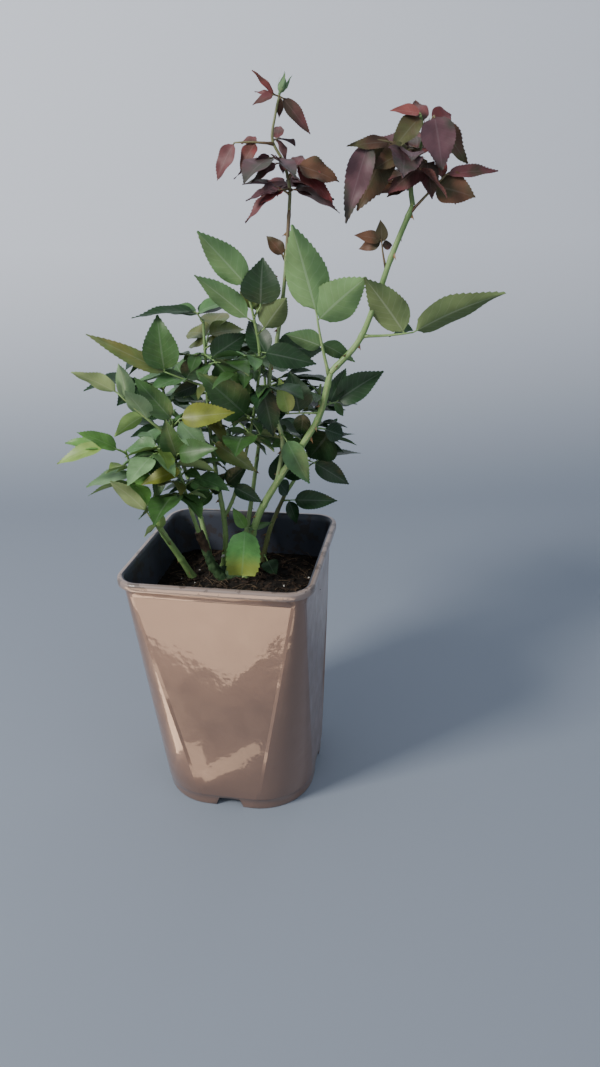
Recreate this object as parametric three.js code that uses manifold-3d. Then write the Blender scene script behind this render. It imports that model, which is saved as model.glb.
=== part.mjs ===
// A young rose bush in its deep square plastic pot, with green canes, green leaves and dark red new growth.
// Millimetres, +Z up. The origin is the centre of the pot's underside; +X is right and +Y is away from the front.
import * as THREE from 'three';
import { mergeVertices } from 'three/addons/utils/BufferGeometryUtils.js';
import Module from 'manifold-3d';

const wasm = await Module();
wasm.setup();

// Driving dimensions
const POT_WIDTH = 200;
const POT_HEIGHT = 282;
const POT_TURN = -11;
const SOIL_HEIGHT = 236;
const CLEAR = 0.3;
const MID_LEAF = 50;

// Pot sizes that follow from the width and the height
const LIP = { drop: 8, reach: 5.5, edge: 2.5, corner: 27 };
const WALL = {
  top: POT_WIDTH / 2 - LIP.reach,
  foot: POT_WIDTH * 0.4275,
  topCorner: 22,
  footCorner: 60,
  thick: 2.2,
};
const FLOOR = { recess: 9, thick: 3, footRing: 6, pad: 18 };
const NOTCH = { top: 23, foot: 31, high: 11 };
const DRAIN = { radius: 5.5, from: 48 };
const SOIL = { edge: 6, plateau: 62, gap: 0.4 };
const KNOB = { across: 22, deep: 15, high: 12, x: -7, y: 24, lift: 1 };

// How finely the round parts and the limbs are cut into flats
const CORNER_STEPS = 4;
const CANE_CUT = { sides: 6, steps: 10 };
const STEM_CUT = { sides: 5, steps: 7 };
const LIMB_CLEAR = CLEAR * 1.3;

// A limb's flare at the soil, and how far it is first carried below the soil to be cut flat there
const FLARE = { share: 0.45, reach: 7, below: 6 };

// Canes: route in the plant's frame, radius at the foot and at the tip. A third name says which cane one forks from.
const CANES = {
  right_cane: { route: [[9, 15, 236], [24, 12, 303], [52, 8, 355], [77, 4, 392], [94, 0, 422], [105, -4, 465]], foot: 4.2, tip: 3.0 },
  right_cane_upper: { route: [[105, -4, 465], [131, -9, 494], [147, -14, 532], [161, -18, 573], [177, -22, 612]], foot: 3.0, tip: 2.4 },
  tall_cane: {
    route: [[49, 8, 351], [56, 14, 393], [47, 16, 427], [45, 18, 455], [54, 20, 492], [63, 22, 544], [70, 24, 610]],
    foot: 2.4, tip: 1.7, from: 'right_cane',
  },
  left_cane: { route: [[-50, 20, 236], [-59, 14, 260], [-77, 2, 306], [-80, -2, 329], [-75, -4, 348]], foot: 3.8, tip: 2.6 },
  old_stub: { route: [[-15, 14, 236], [-24, 12, 250], [-31, 11, 272], [-37, 9, 296]], foot: 5.2, tip: 4.4 },
  middle_cane: { route: [[-17, 27, 236], [-11, 26, 276], [-11, 27, 303], [-16, 30, 350]], foot: 3.2, tip: 2.4 },
  centre_cane: { route: [[-12, 27, 300], [2, 24, 330], [17, 20, 376]], foot: 2.1, tip: 1.8, from: 'middle_cane' },
  back_right_cane: { route: [[26, 52, 236], [38, 55, 278], [55, 56, 316]], foot: 2.8, tip: 2.2 },
  back_left_cane: { route: [[-30, 44, 236], [-44, 70, 296], [-62, 98, 346]], foot: 3.0, tip: 2.2 },
  back_cane: { route: [[2, 50, 236], [16, 78, 300], [26, 104, 356]], foot: 3.0, tip: 2.2 },
};

// Stems inside the masses of foliage. Each goes on from the cane it names, or springs from its side.
const STEMS = {
  right_top: { route: [[177, -22, 612], [175, -22, 628], [182, -20, 656], [187, -18, 672]], foot: 2.4, tip: 1.2, from: 'right_cane_upper' },
  tall_top: { route: [[70, 24, 610], [71, 24, 630], [66, 25, 650], [57, 26, 668], [61, 26, 686], [65, 25, 700]], foot: 1.7, tip: 1.0, from: 'tall_cane' },
  left_crown: { route: [[-75, -4, 348], [-67, -6, 378], [-57, -8, 404], [-50, -10, 420]], foot: 2.4, tip: 1.3, from: 'left_cane' },
  left_spray: { route: [[-79, -2, 325], [-90, -14, 360], [-98, -20, 398]], foot: 1.7, tip: 1.1, from: 'left_cane' },
  shoot_crown: { route: [[-36, 9, 290], [-44, 5, 328], [-49, -2, 364], [-52, -10, 386]], foot: 2.3, tip: 1.3, from: 'old_stub' },
  middle_crown: { route: [[-16, 30, 350], [-20, 32, 417], [-19, 33, 452], [-18, 34, 513]], foot: 2.4, tip: 1.3, from: 'middle_cane' },
  centre_crown: { route: [[17, 20, 376], [31, 15, 436], [37, 8, 484], [34, 0, 516], [29, -4, 544]], foot: 1.8, tip: 1.2, from: 'centre_cane' },
  back_right_crown: { route: [[55, 56, 316], [74, 60, 346], [92, 66, 392], [98, 74, 436]], foot: 2.2, tip: 1.2, from: 'back_right_cane' },
  back_left_crown: { route: [[-62, 98, 346], [-76, 118, 400], [-84, 130, 456]], foot: 2.2, tip: 1.2, from: 'back_left_cane' },
  back_crown: { route: [[26, 104, 356], [36, 122, 412], [34, 132, 478]], foot: 2.2, tip: 1.2, from: 'back_cane' },
};

// Compound leaves that shape the outline: mass, limb, height on the limb, stalk [angle, away, length, bend], face, leaflets.
// An angle is in the front plane, 0 to the right and 90 up; away is degrees towards the back; face 0 lies level,
// 90 shows its upper side to the front and -90 its underside. A leaflet is [share of the stalk, angle, away, length, width share].
const LEAVES = [
  ['low_leaf', 'right_cane', 300, [188, -30, 12, 0], 75, [[1, 268, -18, 45, 0.7], [0.9, 120, 5, 26, 0.5], [0.9, 2, 20, 32, 0.24]]],
  ['fork_leaf', 'right_cane', 461, [104, -11, 63, -8], -75, [[1, 104, -4, 82, 0.5], [0.9, 43, -6, 60, 0.68], [0.5, 158, 12, 36, 0.6], [0.55, -32, 32, 42, 0.4]]],
  ['right_leaf', 'right_cane_upper', 500, [-1, -10, 48, -10], -60, [[1, 28, 2, 87, 0.38], [0.84, 124, -2, 66, 0.5], [0.6, 10, 62, 42, 0.45]]],
  ['red_shoot', 'right_cane_upper', 558, [104, 8, 27, -10], 70, [[1, 165, -10, 24, 0.5], [0.95, 196, 12, 22, 0.5], [0.9, 92, 0, 19, 0.6], [0.8, 5, 20, 11, 0.8]]],
  ['right_top_side', 'right_cane_upper', 606, [46, -14, 42, 0], 60, [[1, 7, 6, 48, 0.25], [0.7, -10, -24, 35, 0.86], [0.9, 96, 12, 26, 0.4]]],
  ['node_leaf_left', 'right_cane', 424, [178, 14, 34, 10], 60, [[1, 176, 22, 34, 0.6], [0.62, 101, 6, 41, 0.8], [0.5, 262, 14, 30, 0.6]]],
  ['node_leaf_right', 'right_cane', 432, [8, 22, 14, 0], 60, [[1, 34, 4, 56, 0.52], [0.5, 60, 26, 42, 0.4], [0.9, -58, 20, 22, 0.4]]],
  ['node_leaf_back', 'right_cane', 408, [-12, 48, 30, 20], 70, [[1, 238, 24, 54, 0.82], [0.6, 330, 30, 34, 0.6]]],
  ['twig_leaf_low', 'tall_cane', 400, [-20, -70, 14, 0], 70, [[1, -64, -14, 52, 0.48]]],
  ['twig_leaf_top', 'tall_cane', 428, [-10, -45, 24, 0], 70, [[1, 102, -8, 36, 0.5]]],
  ['tall_leaf', 'tall_cane', 564, [110, 20, 8, 0], 60, [[1, 128, 12, 24, 0.6], [0.9, 28, 26, 20, 0.5]]],
  ['hanging_leaf', 'left_cane', 282, [106, -38, 68, -8], -60, [[1, 122, -10, 52, 0.48], [0.5, 80, -10, 26, 0.5], [0.62, 205, -30, 17, 0.6]]],
  ['middle_low', 'middle_cane', 332, [160, -40, 12, 0], 50, [[1, 152, -16, 32, 0.56], [0.9, 60, -20, 30, 0.6], [0.8, 214, -24, 24, 0.5]]],
  ['middle_low_right', 'middle_cane', 344, [4, -46, 26, 0], 55, [[1, -24, -16, 34, 0.5], [0.6, 50, -20, 34, 0.6]]],
  ['right_low', 'right_cane', 336, [30, 66, 36, 0], 50, [[1, 4, 40, 40, 0.6], [0.6, 84, 30, 34, 0.6], [0.7, -60, 30, 30, 0.6]]],
  ['back_low', 'back_right_cane', 310, [30, -50, 22, 0], 60, [[1, 2, -10, 48, 0.46], [0.6, -72, -4, 30, 0.5]]],
  ['soil_leaf', 'back_right_cane', 247, [-35, -70, 14, 0], 35, [[1, -20, -70, 28, 0.7]]],

  ['right_top', 'right_top', 654, [160, -18, 47, 14], 70, [[1, 250, -12, 66, 0.34], [0.62, 242, -4, 58, 0.52], [0.6, 180, -28, 38, 0.3]]],
  ['right_top', 'right_top', 650, [-30, -50, 12, 0], 60, [[1, 212, -14, 40, 0.58], [0.9, 283, -14, 30, 0.55]]],
  ['right_top', 'right_top', 671, [60, -35, 13, 0], 70, [[1, 280, -24, 43, 0.68], [0.8, -42, 6, 50, 0.4], [0.6, 20, 40, 34, 0.5]]],
  ['right_top', 'right_top', 668, [108, -15, 15, 0], 50, [[1, 166, -4, 25, 0.5], [0.9, 223, -16, 36, 0.56], [0.5, 100, 40, 30, 0.5]]],
  ['right_top', 'right_top', 656, [184, -34, 12, 0], 60, [[1, 200, -30, 38, 0.56], [0.9, 160, 12, 36, 0.5]]],
  ['right_top', 'right_top', 640, [60, 60, 20, 0], 40, [[1, 80, 50, 48, 0.55], [0.8, 140, 50, 40, 0.5], [0.6, 10, 60, 42, 0.5]]],
  ['tall_top', 'tall_top', 628, [186, -40, 12, 0], 25, [[1, 186, -14, 32, 0.42], [0.9, 209, -8, 42, 0.36], [0.6, 200, -26, 25, 0.5]]],
  ['tall_top', 'tall_top', 626, [20, -60, 9, 0], 30, [[1, -17, -6, 45, 0.36], [0.8, -4, 14, 40, 0.36]]],
  ['tall_top', 'tall_top', 636, [54, -42, 18, 0], 45, [[1, -15, -4, 40, 0.62], [0.9, -37, -14, 44, 0.44], [0.7, 60, 50, 28, 0.5]]],
  ['tall_top', 'tall_top', 650, [190, -30, 7, 0], 40, [[1, 206, -12, 28, 0.42]]],
  ['tall_top', 'tall_top', 665, [172, -4, 35, 10], 50, [[1, 234, -6, 35, 0.46], [0.45, 230, -14, 26, 0.56], [0.4, 168, 30, 22, 0.5]]],
  ['tall_top', 'tall_top', 668, [20, 70, 16, 0], 20, [[1, 0, 60, 32, 0.5], [0.7, 80, 50, 24, 0.5], [0.7, 300, 40, 24, 0.5]]],
  ['tall_top', 'tall_top', 696, [165, -20, 5, 0], 60, [[1, 196, -10, 20, 0.4], [0.9, 130, 0, 27, 0.2], [0.7, 164, 14, 20, 0.22]]],
  ['tall_top', 'tall_top', 696, [-24, -10, 3, 0], 60, [[1, -48, -12, 37, 0.36], [0.6, -100, 24, 18, 0.4]]],
  ['left_crown', 'left_crown', 416, [50, -24, 16, 0], 60, [[1, 11, -14, 54, 0.46], [0.8, -48, -10, 42, 0.54]]],
  ['left_crown', 'left_crown', 418, [84, -24, 8, 0], 70, [[1, 125, -6, 53, 0.44]]],
  ['left_crown', 'left_crown', 408, [133, -18, 68, -6], -60, [[1, 143, -6, 44, 0.46], [0.8, 91, -6, 40, 0.46], [0.4, 111, -22, 44, 0.5], [0.5, 206, -10, 34, 0.6]]],
  ['left_spray', 'left_spray', 395, [142, -20, 22, 12], 35, [[1, 190, -12, 50, 0.36], [0.85, 170, 8, 46, 0.36], [0.4, 138, -20, 42, 0.44]]],
  ['shoot_crown', 'shoot_crown', 378, [10, -70, 24, 0], 40, [[1, 190, -12, 42, 0.42]]],
  ['shoot_crown', 'shoot_crown', 370, [176, -20, 28, 10], 40, [[1, 190, -26, 34, 0.5], [0.6, 140, -30, 30, 0.6], [0.6, 250, -30, 28, 0.5]]],
  ['shoot_crown', 'shoot_crown', 384, [60, -40, 12, 0], 60, [[1, 20, -30, 44, 0.56], [0.6, 100, -20, 40, 0.6]]],
  ['middle_crown', 'middle_crown', 446, [157, -12, 45, -4], 80, [[1, 93, -6, 54, 0.7], [0.92, 150, -8, 86, 0.2], [0.5, 58, -10, 31, 0.7], [0.2, 197, -16, 30, 0.5]]],
  ['middle_crown', 'middle_crown', 510, [120, -10, 12, 0], 20, [[1, 173, -8, 62, 0.3], [0.9, 26, -4, 42, 0.62], [0.8, 166, 12, 40, 0.62], [0.8, 20, 30, 38, 0.6]]],
  ['middle_crown', 'middle_crown', 478, [-10, -60, 22, 0], 75, [[1, -50, -6, 56, 0.6], [0.5, 30, 10, 44, 0.6]]],
  ['middle_crown', 'middle_crown', 392, [40, -76, 28, 0], 60, [[1, -33, -10, 52, 0.42]]],
  ['centre_crown', 'centre_crown', 540, [90, -8, 7, 0], -80, [[1, 129, -6, 66, 0.46], [0.5, 24, 56, 40, 0.6]]],
  ['centre_crown', 'centre_crown', 514, [150, -14, 6, 0], -70, [[1, 135, -10, 66, 0.36]]],
  ['centre_crown', 'centre_crown', 518, [58, -20, 14, 0], 70, [[1, 86, -6, 42, 0.9], [0.5, 100, 40, 46, 0.6]]],
  ['centre_crown', 'centre_crown', 502, [40, -24, 9, 0], -70, [[1, 54, -10, 40, 0.72]]],
  ['centre_crown', 'centre_crown', 476, [20, 60, 30, 0], 60, [[1, 0, 14, 54, 0.6], [0.5, 120, 30, 44, 0.6]]],
  ['centre_crown', 'centre_crown', 484, [20, -60, 8, 0], 60, [[1, -10, -8, 52, 0.48]]],
  ['centre_crown', 'centre_crown', 450, [0, -60, 10, 0], 60, [[1, -78, -10, 50, 0.5]]],
  ['centre_crown', 'centre_crown', 418, [150, -46, 10, 0], 70, [[1, 128, -26, 66, 0.58]]],
  ['back_right_crown', 'back_right_crown', 356, [-10, -36, 12, 0], 60, [[1, -30, -10, 46, 0.5]]],
];

// Leaves placed by rule: mass, lowest and highest height on its stem, leaves, stalk, first heading and tint.
const FILL = [
  ['right_top', 620, 662, 2, 24, 70],
  ['tall_top', 616, 664, 2, 20, 100],
  ['left_crown', 356, 398, 4, 28, 200],
  ['shoot_crown', 336, 366, 3, 26, 250],
  ['left_spray', 352, 384, 2, 22, 250],
  ['middle_crown', 356, 492, 8, 32, 200],
  ['centre_crown', 384, 488, 6, 28, 260],
  ['back_right_crown', 328, 434, 5, 32, 20],
  ['back_left_crown', 354, 454, 5, 34, 150],
  ['back_crown', 364, 476, 5, 34, 60],
];

const rad = THREE.MathUtils.degToRad;
const UP = new THREE.Vector3(0, 0, 1);

// A small seeded generator, the same on every machine.
function seeded(seed) {
  let state = (seed * 7919 + 104729) % 2147483647;
  return () => {
    state = (state * 16807) % 2147483647;
    return state / 2147483647;
  };
}

function aim(angle, away) {
  const flat = Math.cos(rad(away));
  return new THREE.Vector3(flat * Math.cos(rad(angle)), Math.sin(rad(away)), flat * Math.sin(rad(angle)));
}

function towards(heading, rise) {
  const flat = Math.cos(rad(rise));
  return new THREE.Vector3(flat * Math.cos(rad(heading)), flat * Math.sin(rad(heading)), Math.sin(rad(rise)));
}

function solidOf(geometry) {
  const bare = geometry.index ? geometry.toNonIndexed() : geometry.clone();
  bare.deleteAttribute('normal');
  bare.deleteAttribute('uv');
  const merged = mergeVertices(bare, 1e-4);
  return new wasm.Manifold(new wasm.Mesh({
    numProp: 3,
    vertProperties: merged.attributes.position.array,
    triVerts: new Uint32Array(merged.index.array),
  }));
}

function meshOf(solid, name, material) {
  const made = solid.getMesh();
  const geometry = new THREE.BufferGeometry();
  geometry.setAttribute('position', new THREE.BufferAttribute(made.vertProperties, 3));
  geometry.setIndex(new THREE.BufferAttribute(made.triVerts, 1));
  geometry.computeVertexNormals();
  const mesh = new THREE.Mesh(geometry, material);
  mesh.name = name;
  return mesh;
}

// Rings of points, each counterclockwise about the way the rings run, joined into one closed skin.
function loft(rings) {
  const sides = rings[0].length;
  const positions = rings.flat().flatMap((p) => [p.x, p.y, p.z]);
  const index = [];
  for (let k = 0; k + 1 < rings.length; k++) {
    for (let i = 0; i < sides; i++) {
      const a = k * sides + i;
      const b = k * sides + ((i + 1) % sides);
      index.push(a, b, b + sides, a, b + sides, a + sides);
    }
  }
  const last = (rings.length - 1) * sides;
  for (let i = 1; i + 1 < sides; i++) {
    index.push(0, i + 1, i);
    index.push(last, last + i, last + i + 1);
  }
  const geometry = new THREE.BufferGeometry();
  geometry.setAttribute('position', new THREE.Float32BufferAttribute(positions, 3));
  geometry.setIndex(index);
  return geometry;
}

// A square with round corners, as a level ring turned with the pot.
function squareRing(half, corner, z) {
  const ring = [];
  for (let quarter = 0; quarter < 4; quarter++) {
    const middle = new THREE.Vector2(half - corner, half - corner).rotateAround(new THREE.Vector2(), (quarter * Math.PI) / 2);
    for (let i = 0; i <= CORNER_STEPS; i++) {
      const angle = ((quarter + i / CORNER_STEPS) * Math.PI) / 2;
      const x = middle.x + corner * Math.cos(angle);
      const y = middle.y + corner * Math.sin(angle);
      ring.push(new THREE.Vector3(x, y, z).applyAxisAngle(UP, rad(POT_TURN)));
    }
  }
  return ring;
}

function wallAt(z, inset) {
  const share = z / (POT_HEIGHT - LIP.drop);
  const half = THREE.MathUtils.lerp(WALL.foot, WALL.top, share) - inset;
  const corner = THREE.MathUtils.lerp(WALL.footCorner, WALL.topCorner, share) - inset;
  return squareRing(half, Math.max(corner, 4), z);
}

function makePot() {
  const under = POT_HEIGHT - LIP.drop;
  const half = POT_WIDTH / 2;
  let pot = solidOf(loft([
    wallAt(0, 0),
    wallAt(under, 0),
    squareRing(half, LIP.corner, under + 0.5),
    squareRing(half, LIP.corner, POT_HEIGHT - LIP.edge),
    squareRing(half - 1, LIP.corner - 1, POT_HEIGHT),
  ]));
  const floorTop = FLOOR.recess + FLOOR.thick;
  pot = pot.subtract(solidOf(loft([wallAt(floorTop, WALL.thick), wallAt(POT_HEIGHT + 5, WALL.thick)])));
  pot = pot.subtract(solidOf(loft([wallAt(-5, FLOOR.footRing), wallAt(FLOOR.recess, FLOOR.footRing)])));
  const pad = new THREE.CylinderGeometry(FLOOR.pad, FLOOR.pad, floorTop - 1, 24).rotateX(Math.PI / 2);
  pot = pot.add(solidOf(pad.translate(0, 0, (floorTop - 1) / 2)));
  const notch = new THREE.Shape([
    new THREE.Vector2(-NOTCH.foot / 2 - 0.5, -1),
    new THREE.Vector2(NOTCH.foot / 2 + 0.5, -1),
    new THREE.Vector2(NOTCH.top / 2, NOTCH.high),
    new THREE.Vector2(-NOTCH.top / 2, NOTCH.high),
  ]);
  for (let side = 0; side < 4; side++) {
    const turn = rad(POT_TURN + side * 90);
    const cut = new THREE.ExtrudeGeometry(notch, { depth: 30, bevelEnabled: false }).rotateX(Math.PI / 2);
    pot = pot.subtract(solidOf(cut.translate(0, -WALL.foot + 15, 0).rotateZ(turn)));
    const hole = new THREE.CylinderGeometry(DRAIN.radius, DRAIN.radius, 20, 10).rotateX(Math.PI / 2);
    pot = pot.subtract(solidOf(hole.translate(DRAIN.from, 0, floorTop).rotateZ(turn + Math.PI / 4)));
  }
  return pot;
}

function makeSoil() {
  const inset = WALL.thick + SOIL.gap;
  const floorTop = FLOOR.recess + FLOOR.thick + CLEAR;
  return solidOf(loft([
    wallAt(floorTop, inset),
    wallAt(SOIL_HEIGHT - SOIL.edge, inset),
    squareRing(SOIL.plateau, SOIL.plateau * 0.5, SOIL_HEIGHT - CLEAR),
  ]));
}

function routeOf(limb) {
  return new THREE.CatmullRomCurve3(limb.route.map((p) => new THREE.Vector3(...p)), false, 'centripetal');
}

// A tapering limb along its route. It flares at the foot where it leaves the soil; grow makes the space it needs round it.
function limbSolid(limb, { sides, steps }, grow = 0) {
  const curve = routeOf(limb);
  const frames = curve.computeFrenetFrames(steps, false);
  const length = curve.getLength();
  const rings = [];
  for (let k = 0; k <= steps; k++) {
    const share = k / steps;
    const flare = limb.from ? 0 : FLARE.share * Math.exp((-share * length) / FLARE.reach);
    const radius = THREE.MathUtils.lerp(limb.foot, limb.tip, share) * (1 + flare) + grow;
    const middle = curve.getPointAt(share);
    if (grow && k === 0) middle.addScaledVector(frames.tangents[0], -2 * grow);
    if (grow && k === steps) middle.addScaledVector(frames.tangents[steps], grow);
    rings.push(Array.from({ length: sides }, (_, i) => {
      const angle = (i / sides) * 2 * Math.PI;
      return middle.clone()
        .addScaledVector(frames.normals[k], radius * Math.cos(angle))
        .addScaledVector(frames.binormals[k], radius * Math.sin(angle));
    }));
  }
  return solidOf(loft(rings));
}

function pointAtHeight(limb, height) {
  const curve = routeOf(limb);
  let low = 0;
  let high = 1;
  for (let i = 0; i < 24; i++) {
    const middle = (low + high) / 2;
    if (curve.getPointAt(middle).z < height) low = middle;
    else high = middle;
  }
  return curve.getPointAt(low);
}

// The upper side's direction for something that runs along a direction: face 0 looks up, 90 looks to the front.
function upperSide(direction, face) {
  const wanted = new THREE.Vector3(0, -Math.sin(rad(face)), Math.cos(rad(face)));
  const side = wanted.addScaledVector(direction, -wanted.dot(direction));
  return side.lengthSq() < 0.01 ? upperSide(direction, face + 40) : side.normalize();
}

// Width of a leaflet along its length, as shares of its half width.
const BLADE = [[0.26, 0.96], [0.66, 0.84]];
const ROOT = 0.7;
const FORM = { fold: 16, curl: 22, thick: 0.014, leastThick: 0.9 };

// One leaflet: folded up along its midrib, curling down towards its tip, and thickest at the midrib.
function bladeSolid(base, direction, upper, length, width, grow = 0) {
  const across = new THREE.Vector3().crossVectors(upper, direction);
  const fold = rad(FORM.fold);
  const curl = rad(FORM.curl);
  const thick = Math.max(FORM.leastThick, length * FORM.thick);
  const along = (share) => {
    const drop = -Math.sin(curl * share) * share * length * 0.5;
    return base.clone().addScaledVector(direction, share * length).addScaledVector(upper, drop);
  };
  const points = [along(1).addScaledVector(direction, grow)];
  for (const [share, half] of [[0, ROOT / (width / 2)], ...BLADE]) {
    const middle = along(share);
    const reach = (half * width) / 2 + grow;
    const lift = reach * Math.sin(fold);
    const out = reach * Math.cos(fold);
    points.push(
      middle.clone().addScaledVector(upper, grow),
      middle.clone().addScaledVector(upper, -thick - grow),
      middle.clone().addScaledVector(across, out).addScaledVector(upper, lift),
      middle.clone().addScaledVector(across, -out).addScaledVector(upper, lift),
    );
  }
  const index = [];
  const last = BLADE.length;
  const at = (station, part) => 1 + station * 4 + part;
  const strip = (mid, edge, turned) => {
    const face = (a, b, c) => (turned ? index.push(a, c, b) : index.push(a, b, c));
    for (let k = 0; k < last; k++) {
      face(at(k, mid), at(k + 1, mid), at(k + 1, edge));
      face(at(k, mid), at(k + 1, edge), at(k, edge));
    }
    face(at(last, mid), 0, at(last, edge));
  };
  index.push(at(0, 0), at(0, 2), at(0, 1), at(0, 0), at(0, 1), at(0, 3));
  strip(0, 2, false);
  strip(0, 3, true);
  strip(1, 2, true);
  strip(1, 3, false);
  const geometry = new THREE.BufferGeometry();
  geometry.setAttribute('position', new THREE.Float32BufferAttribute(points.flatMap((p) => [p.x, p.y, p.z]), 3));
  geometry.setIndex(index);
  return solidOf(geometry);
}

// A leaf stalk: a thin three-sided limb that bends towards the leaf's upper side, or away from it.
function stalkPath(start, direction, upper, reach, bend) {
  const points = [];
  const steps = 2;
  const here = start.clone();
  points.push(here.clone());
  for (let k = 0; k < steps; k++) {
    const turn = rad(-bend * ((k + 0.5) / steps));
    const step = direction.clone().multiplyScalar(Math.cos(turn)).addScaledVector(upper, Math.sin(turn));
    here.addScaledVector(step, reach / steps);
    points.push(here.clone());
  }
  return points;
}

function leafPlan(row) {
  const [mass, limb, height, [angle, away, reach, bend], face, leaflets] = row;
  const direction = aim(angle, away);
  const start = pointAtHeight(CANES[limb] || STEMS[limb], height);
  const path = stalkPath(start, direction, upperSide(direction, 0), reach, bend);
  const blades = leaflets.map(([share, turn, back, length, width]) => {
    const way = aim(turn, back);
    return { share, way, upper: upperSide(way, face), length, width: length * width };
  });
  return { mass, limb, path, blades };
}

// Leaflets of a leaf grown by rule: share of the stalk, turn from its direction, share of the size.
const TRIO = [[1, 0, 1], [0.68, 62, 0.84], [0.68, -62, 0.84]];
const GOLDEN_ANGLE = 137.5;
const STALK_BEND = 18;
const WIDTH_SHARE = 0.62;

// Leaves by rule: even steps up the stem, turned by the golden angle, a pair of leaflets and one at the end.
function fillPlans([mass, low, high, count, reach, heading], number) {
  const random = seeded(number + 11);
  return Array.from({ length: count }, (_, k) => {
    const height = low + ((high - low) * (k + 0.5)) / count;
    const way = heading + k * GOLDEN_ANGLE;
    const rise = 12 + 26 * random();
    const direction = towards(way, rise);
    const size = MID_LEAF * (0.82 + 0.34 * random());
    const tilt = 24 * (random() - 0.5);
    const upper = upperSide(direction, 0).applyAxisAngle(direction, rad(tilt));
    const path = stalkPath(pointAtHeight(STEMS[mass], height), direction, upper, reach, STALK_BEND);
    const blades = TRIO.map(([share, turn, part]) => {
      const spread = direction.clone().applyAxisAngle(upper, rad(turn + 16 * (random() - 0.5)));
      const bladeWay = spread.addScaledVector(upper, -0.25 - 0.3 * random()).normalize();
      const side = upper.clone().addScaledVector(bladeWay, -upper.dot(bladeWay)).normalize();
      return { share, way: bladeWay, upper: side, length: size * part, width: size * part * WIDTH_SHARE };
    });
    return { mass, limb: mass, path, blades, ruled: true };
  });
}

function pointOnPath(path, share) {
  const place = Math.min(share, 0.999) * (path.length - 1);
  const k = Math.floor(place);
  return path[k].clone().lerp(path[k + 1], place - k);
}

const STALK = { foot: 1.5, tip: 1.1, sunk: 0.2, cut: { sides: 3, steps: 3 } };
const NEAR = 0.24;

// Adds one compound leaf to its mass. Whatever would touch a limb or another mass is skipped.
function addLeaf(mass, plan, limbs, neighbours) {
  const touches = (solid) => [...limbs, ...neighbours].some((other) => !solid.intersect(other).isEmpty());
  const route = plan.path.map((p) => p.toArray());
  const stalk = limbSolid({ route, foot: STALK.foot, tip: STALK.tip, from: plan.limb }, STALK.cut);
  const beyond = { route: route.slice(1), foot: STALK.foot + CLEAR, tip: STALK.tip + CLEAR, from: plan.limb };
  if (touches(limbSolid(beyond, STALK.cut)) || neighbours.some((other) => !stalk.intersect(other).isEmpty())) return mass;
  let leaf = stalk;
  for (const { share, way, upper, length, width } of plan.blades) {
    const base = pointOnPath(plan.path, share).addScaledVector(way, -STALK.sunk);
    const outer = base.clone().addScaledVector(way, NEAR * length);
    const beyondRoot = bladeSolid(outer, way, upper, (1 - NEAR) * length, width, CLEAR);
    if (touches(bladeSolid(base, way, upper, length, width, CLEAR * 1.5))) continue;
    if (plan.ruled && mass && !beyondRoot.intersect(mass.add(leaf)).isEmpty()) continue;
    leaf = leaf.add(bladeSolid(base, way, upper, length, width));
  }
  return mass ? mass.add(leaf) : leaf;
}

const FINEST = 0.16;

// The largest body of a solid, without slivers.
function largestBody(solid) {
  return solid.simplify(FINEST).decompose().reduce((best, body) => (body.volume() > best.volume() ? body : best));
}

const finish = (colour, roughness) => new THREE.MeshStandardMaterial({ color: new THREE.Color(...colour), roughness, metalness: 0 });
const MATERIALS = {
  pot: finish([0.33, 0.235, 0.18], 0.35),
  soil: finish([0.03, 0.02, 0.014], 0.95),
  cane: finish([0.16, 0.28, 0.07], 0.5),
  wood: finish([0.1, 0.07, 0.035], 0.8),
  green: finish([0.06, 0.16, 0.035], 0.5),
  red: finish([0.12, 0.025, 0.025], 0.45),
};

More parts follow.
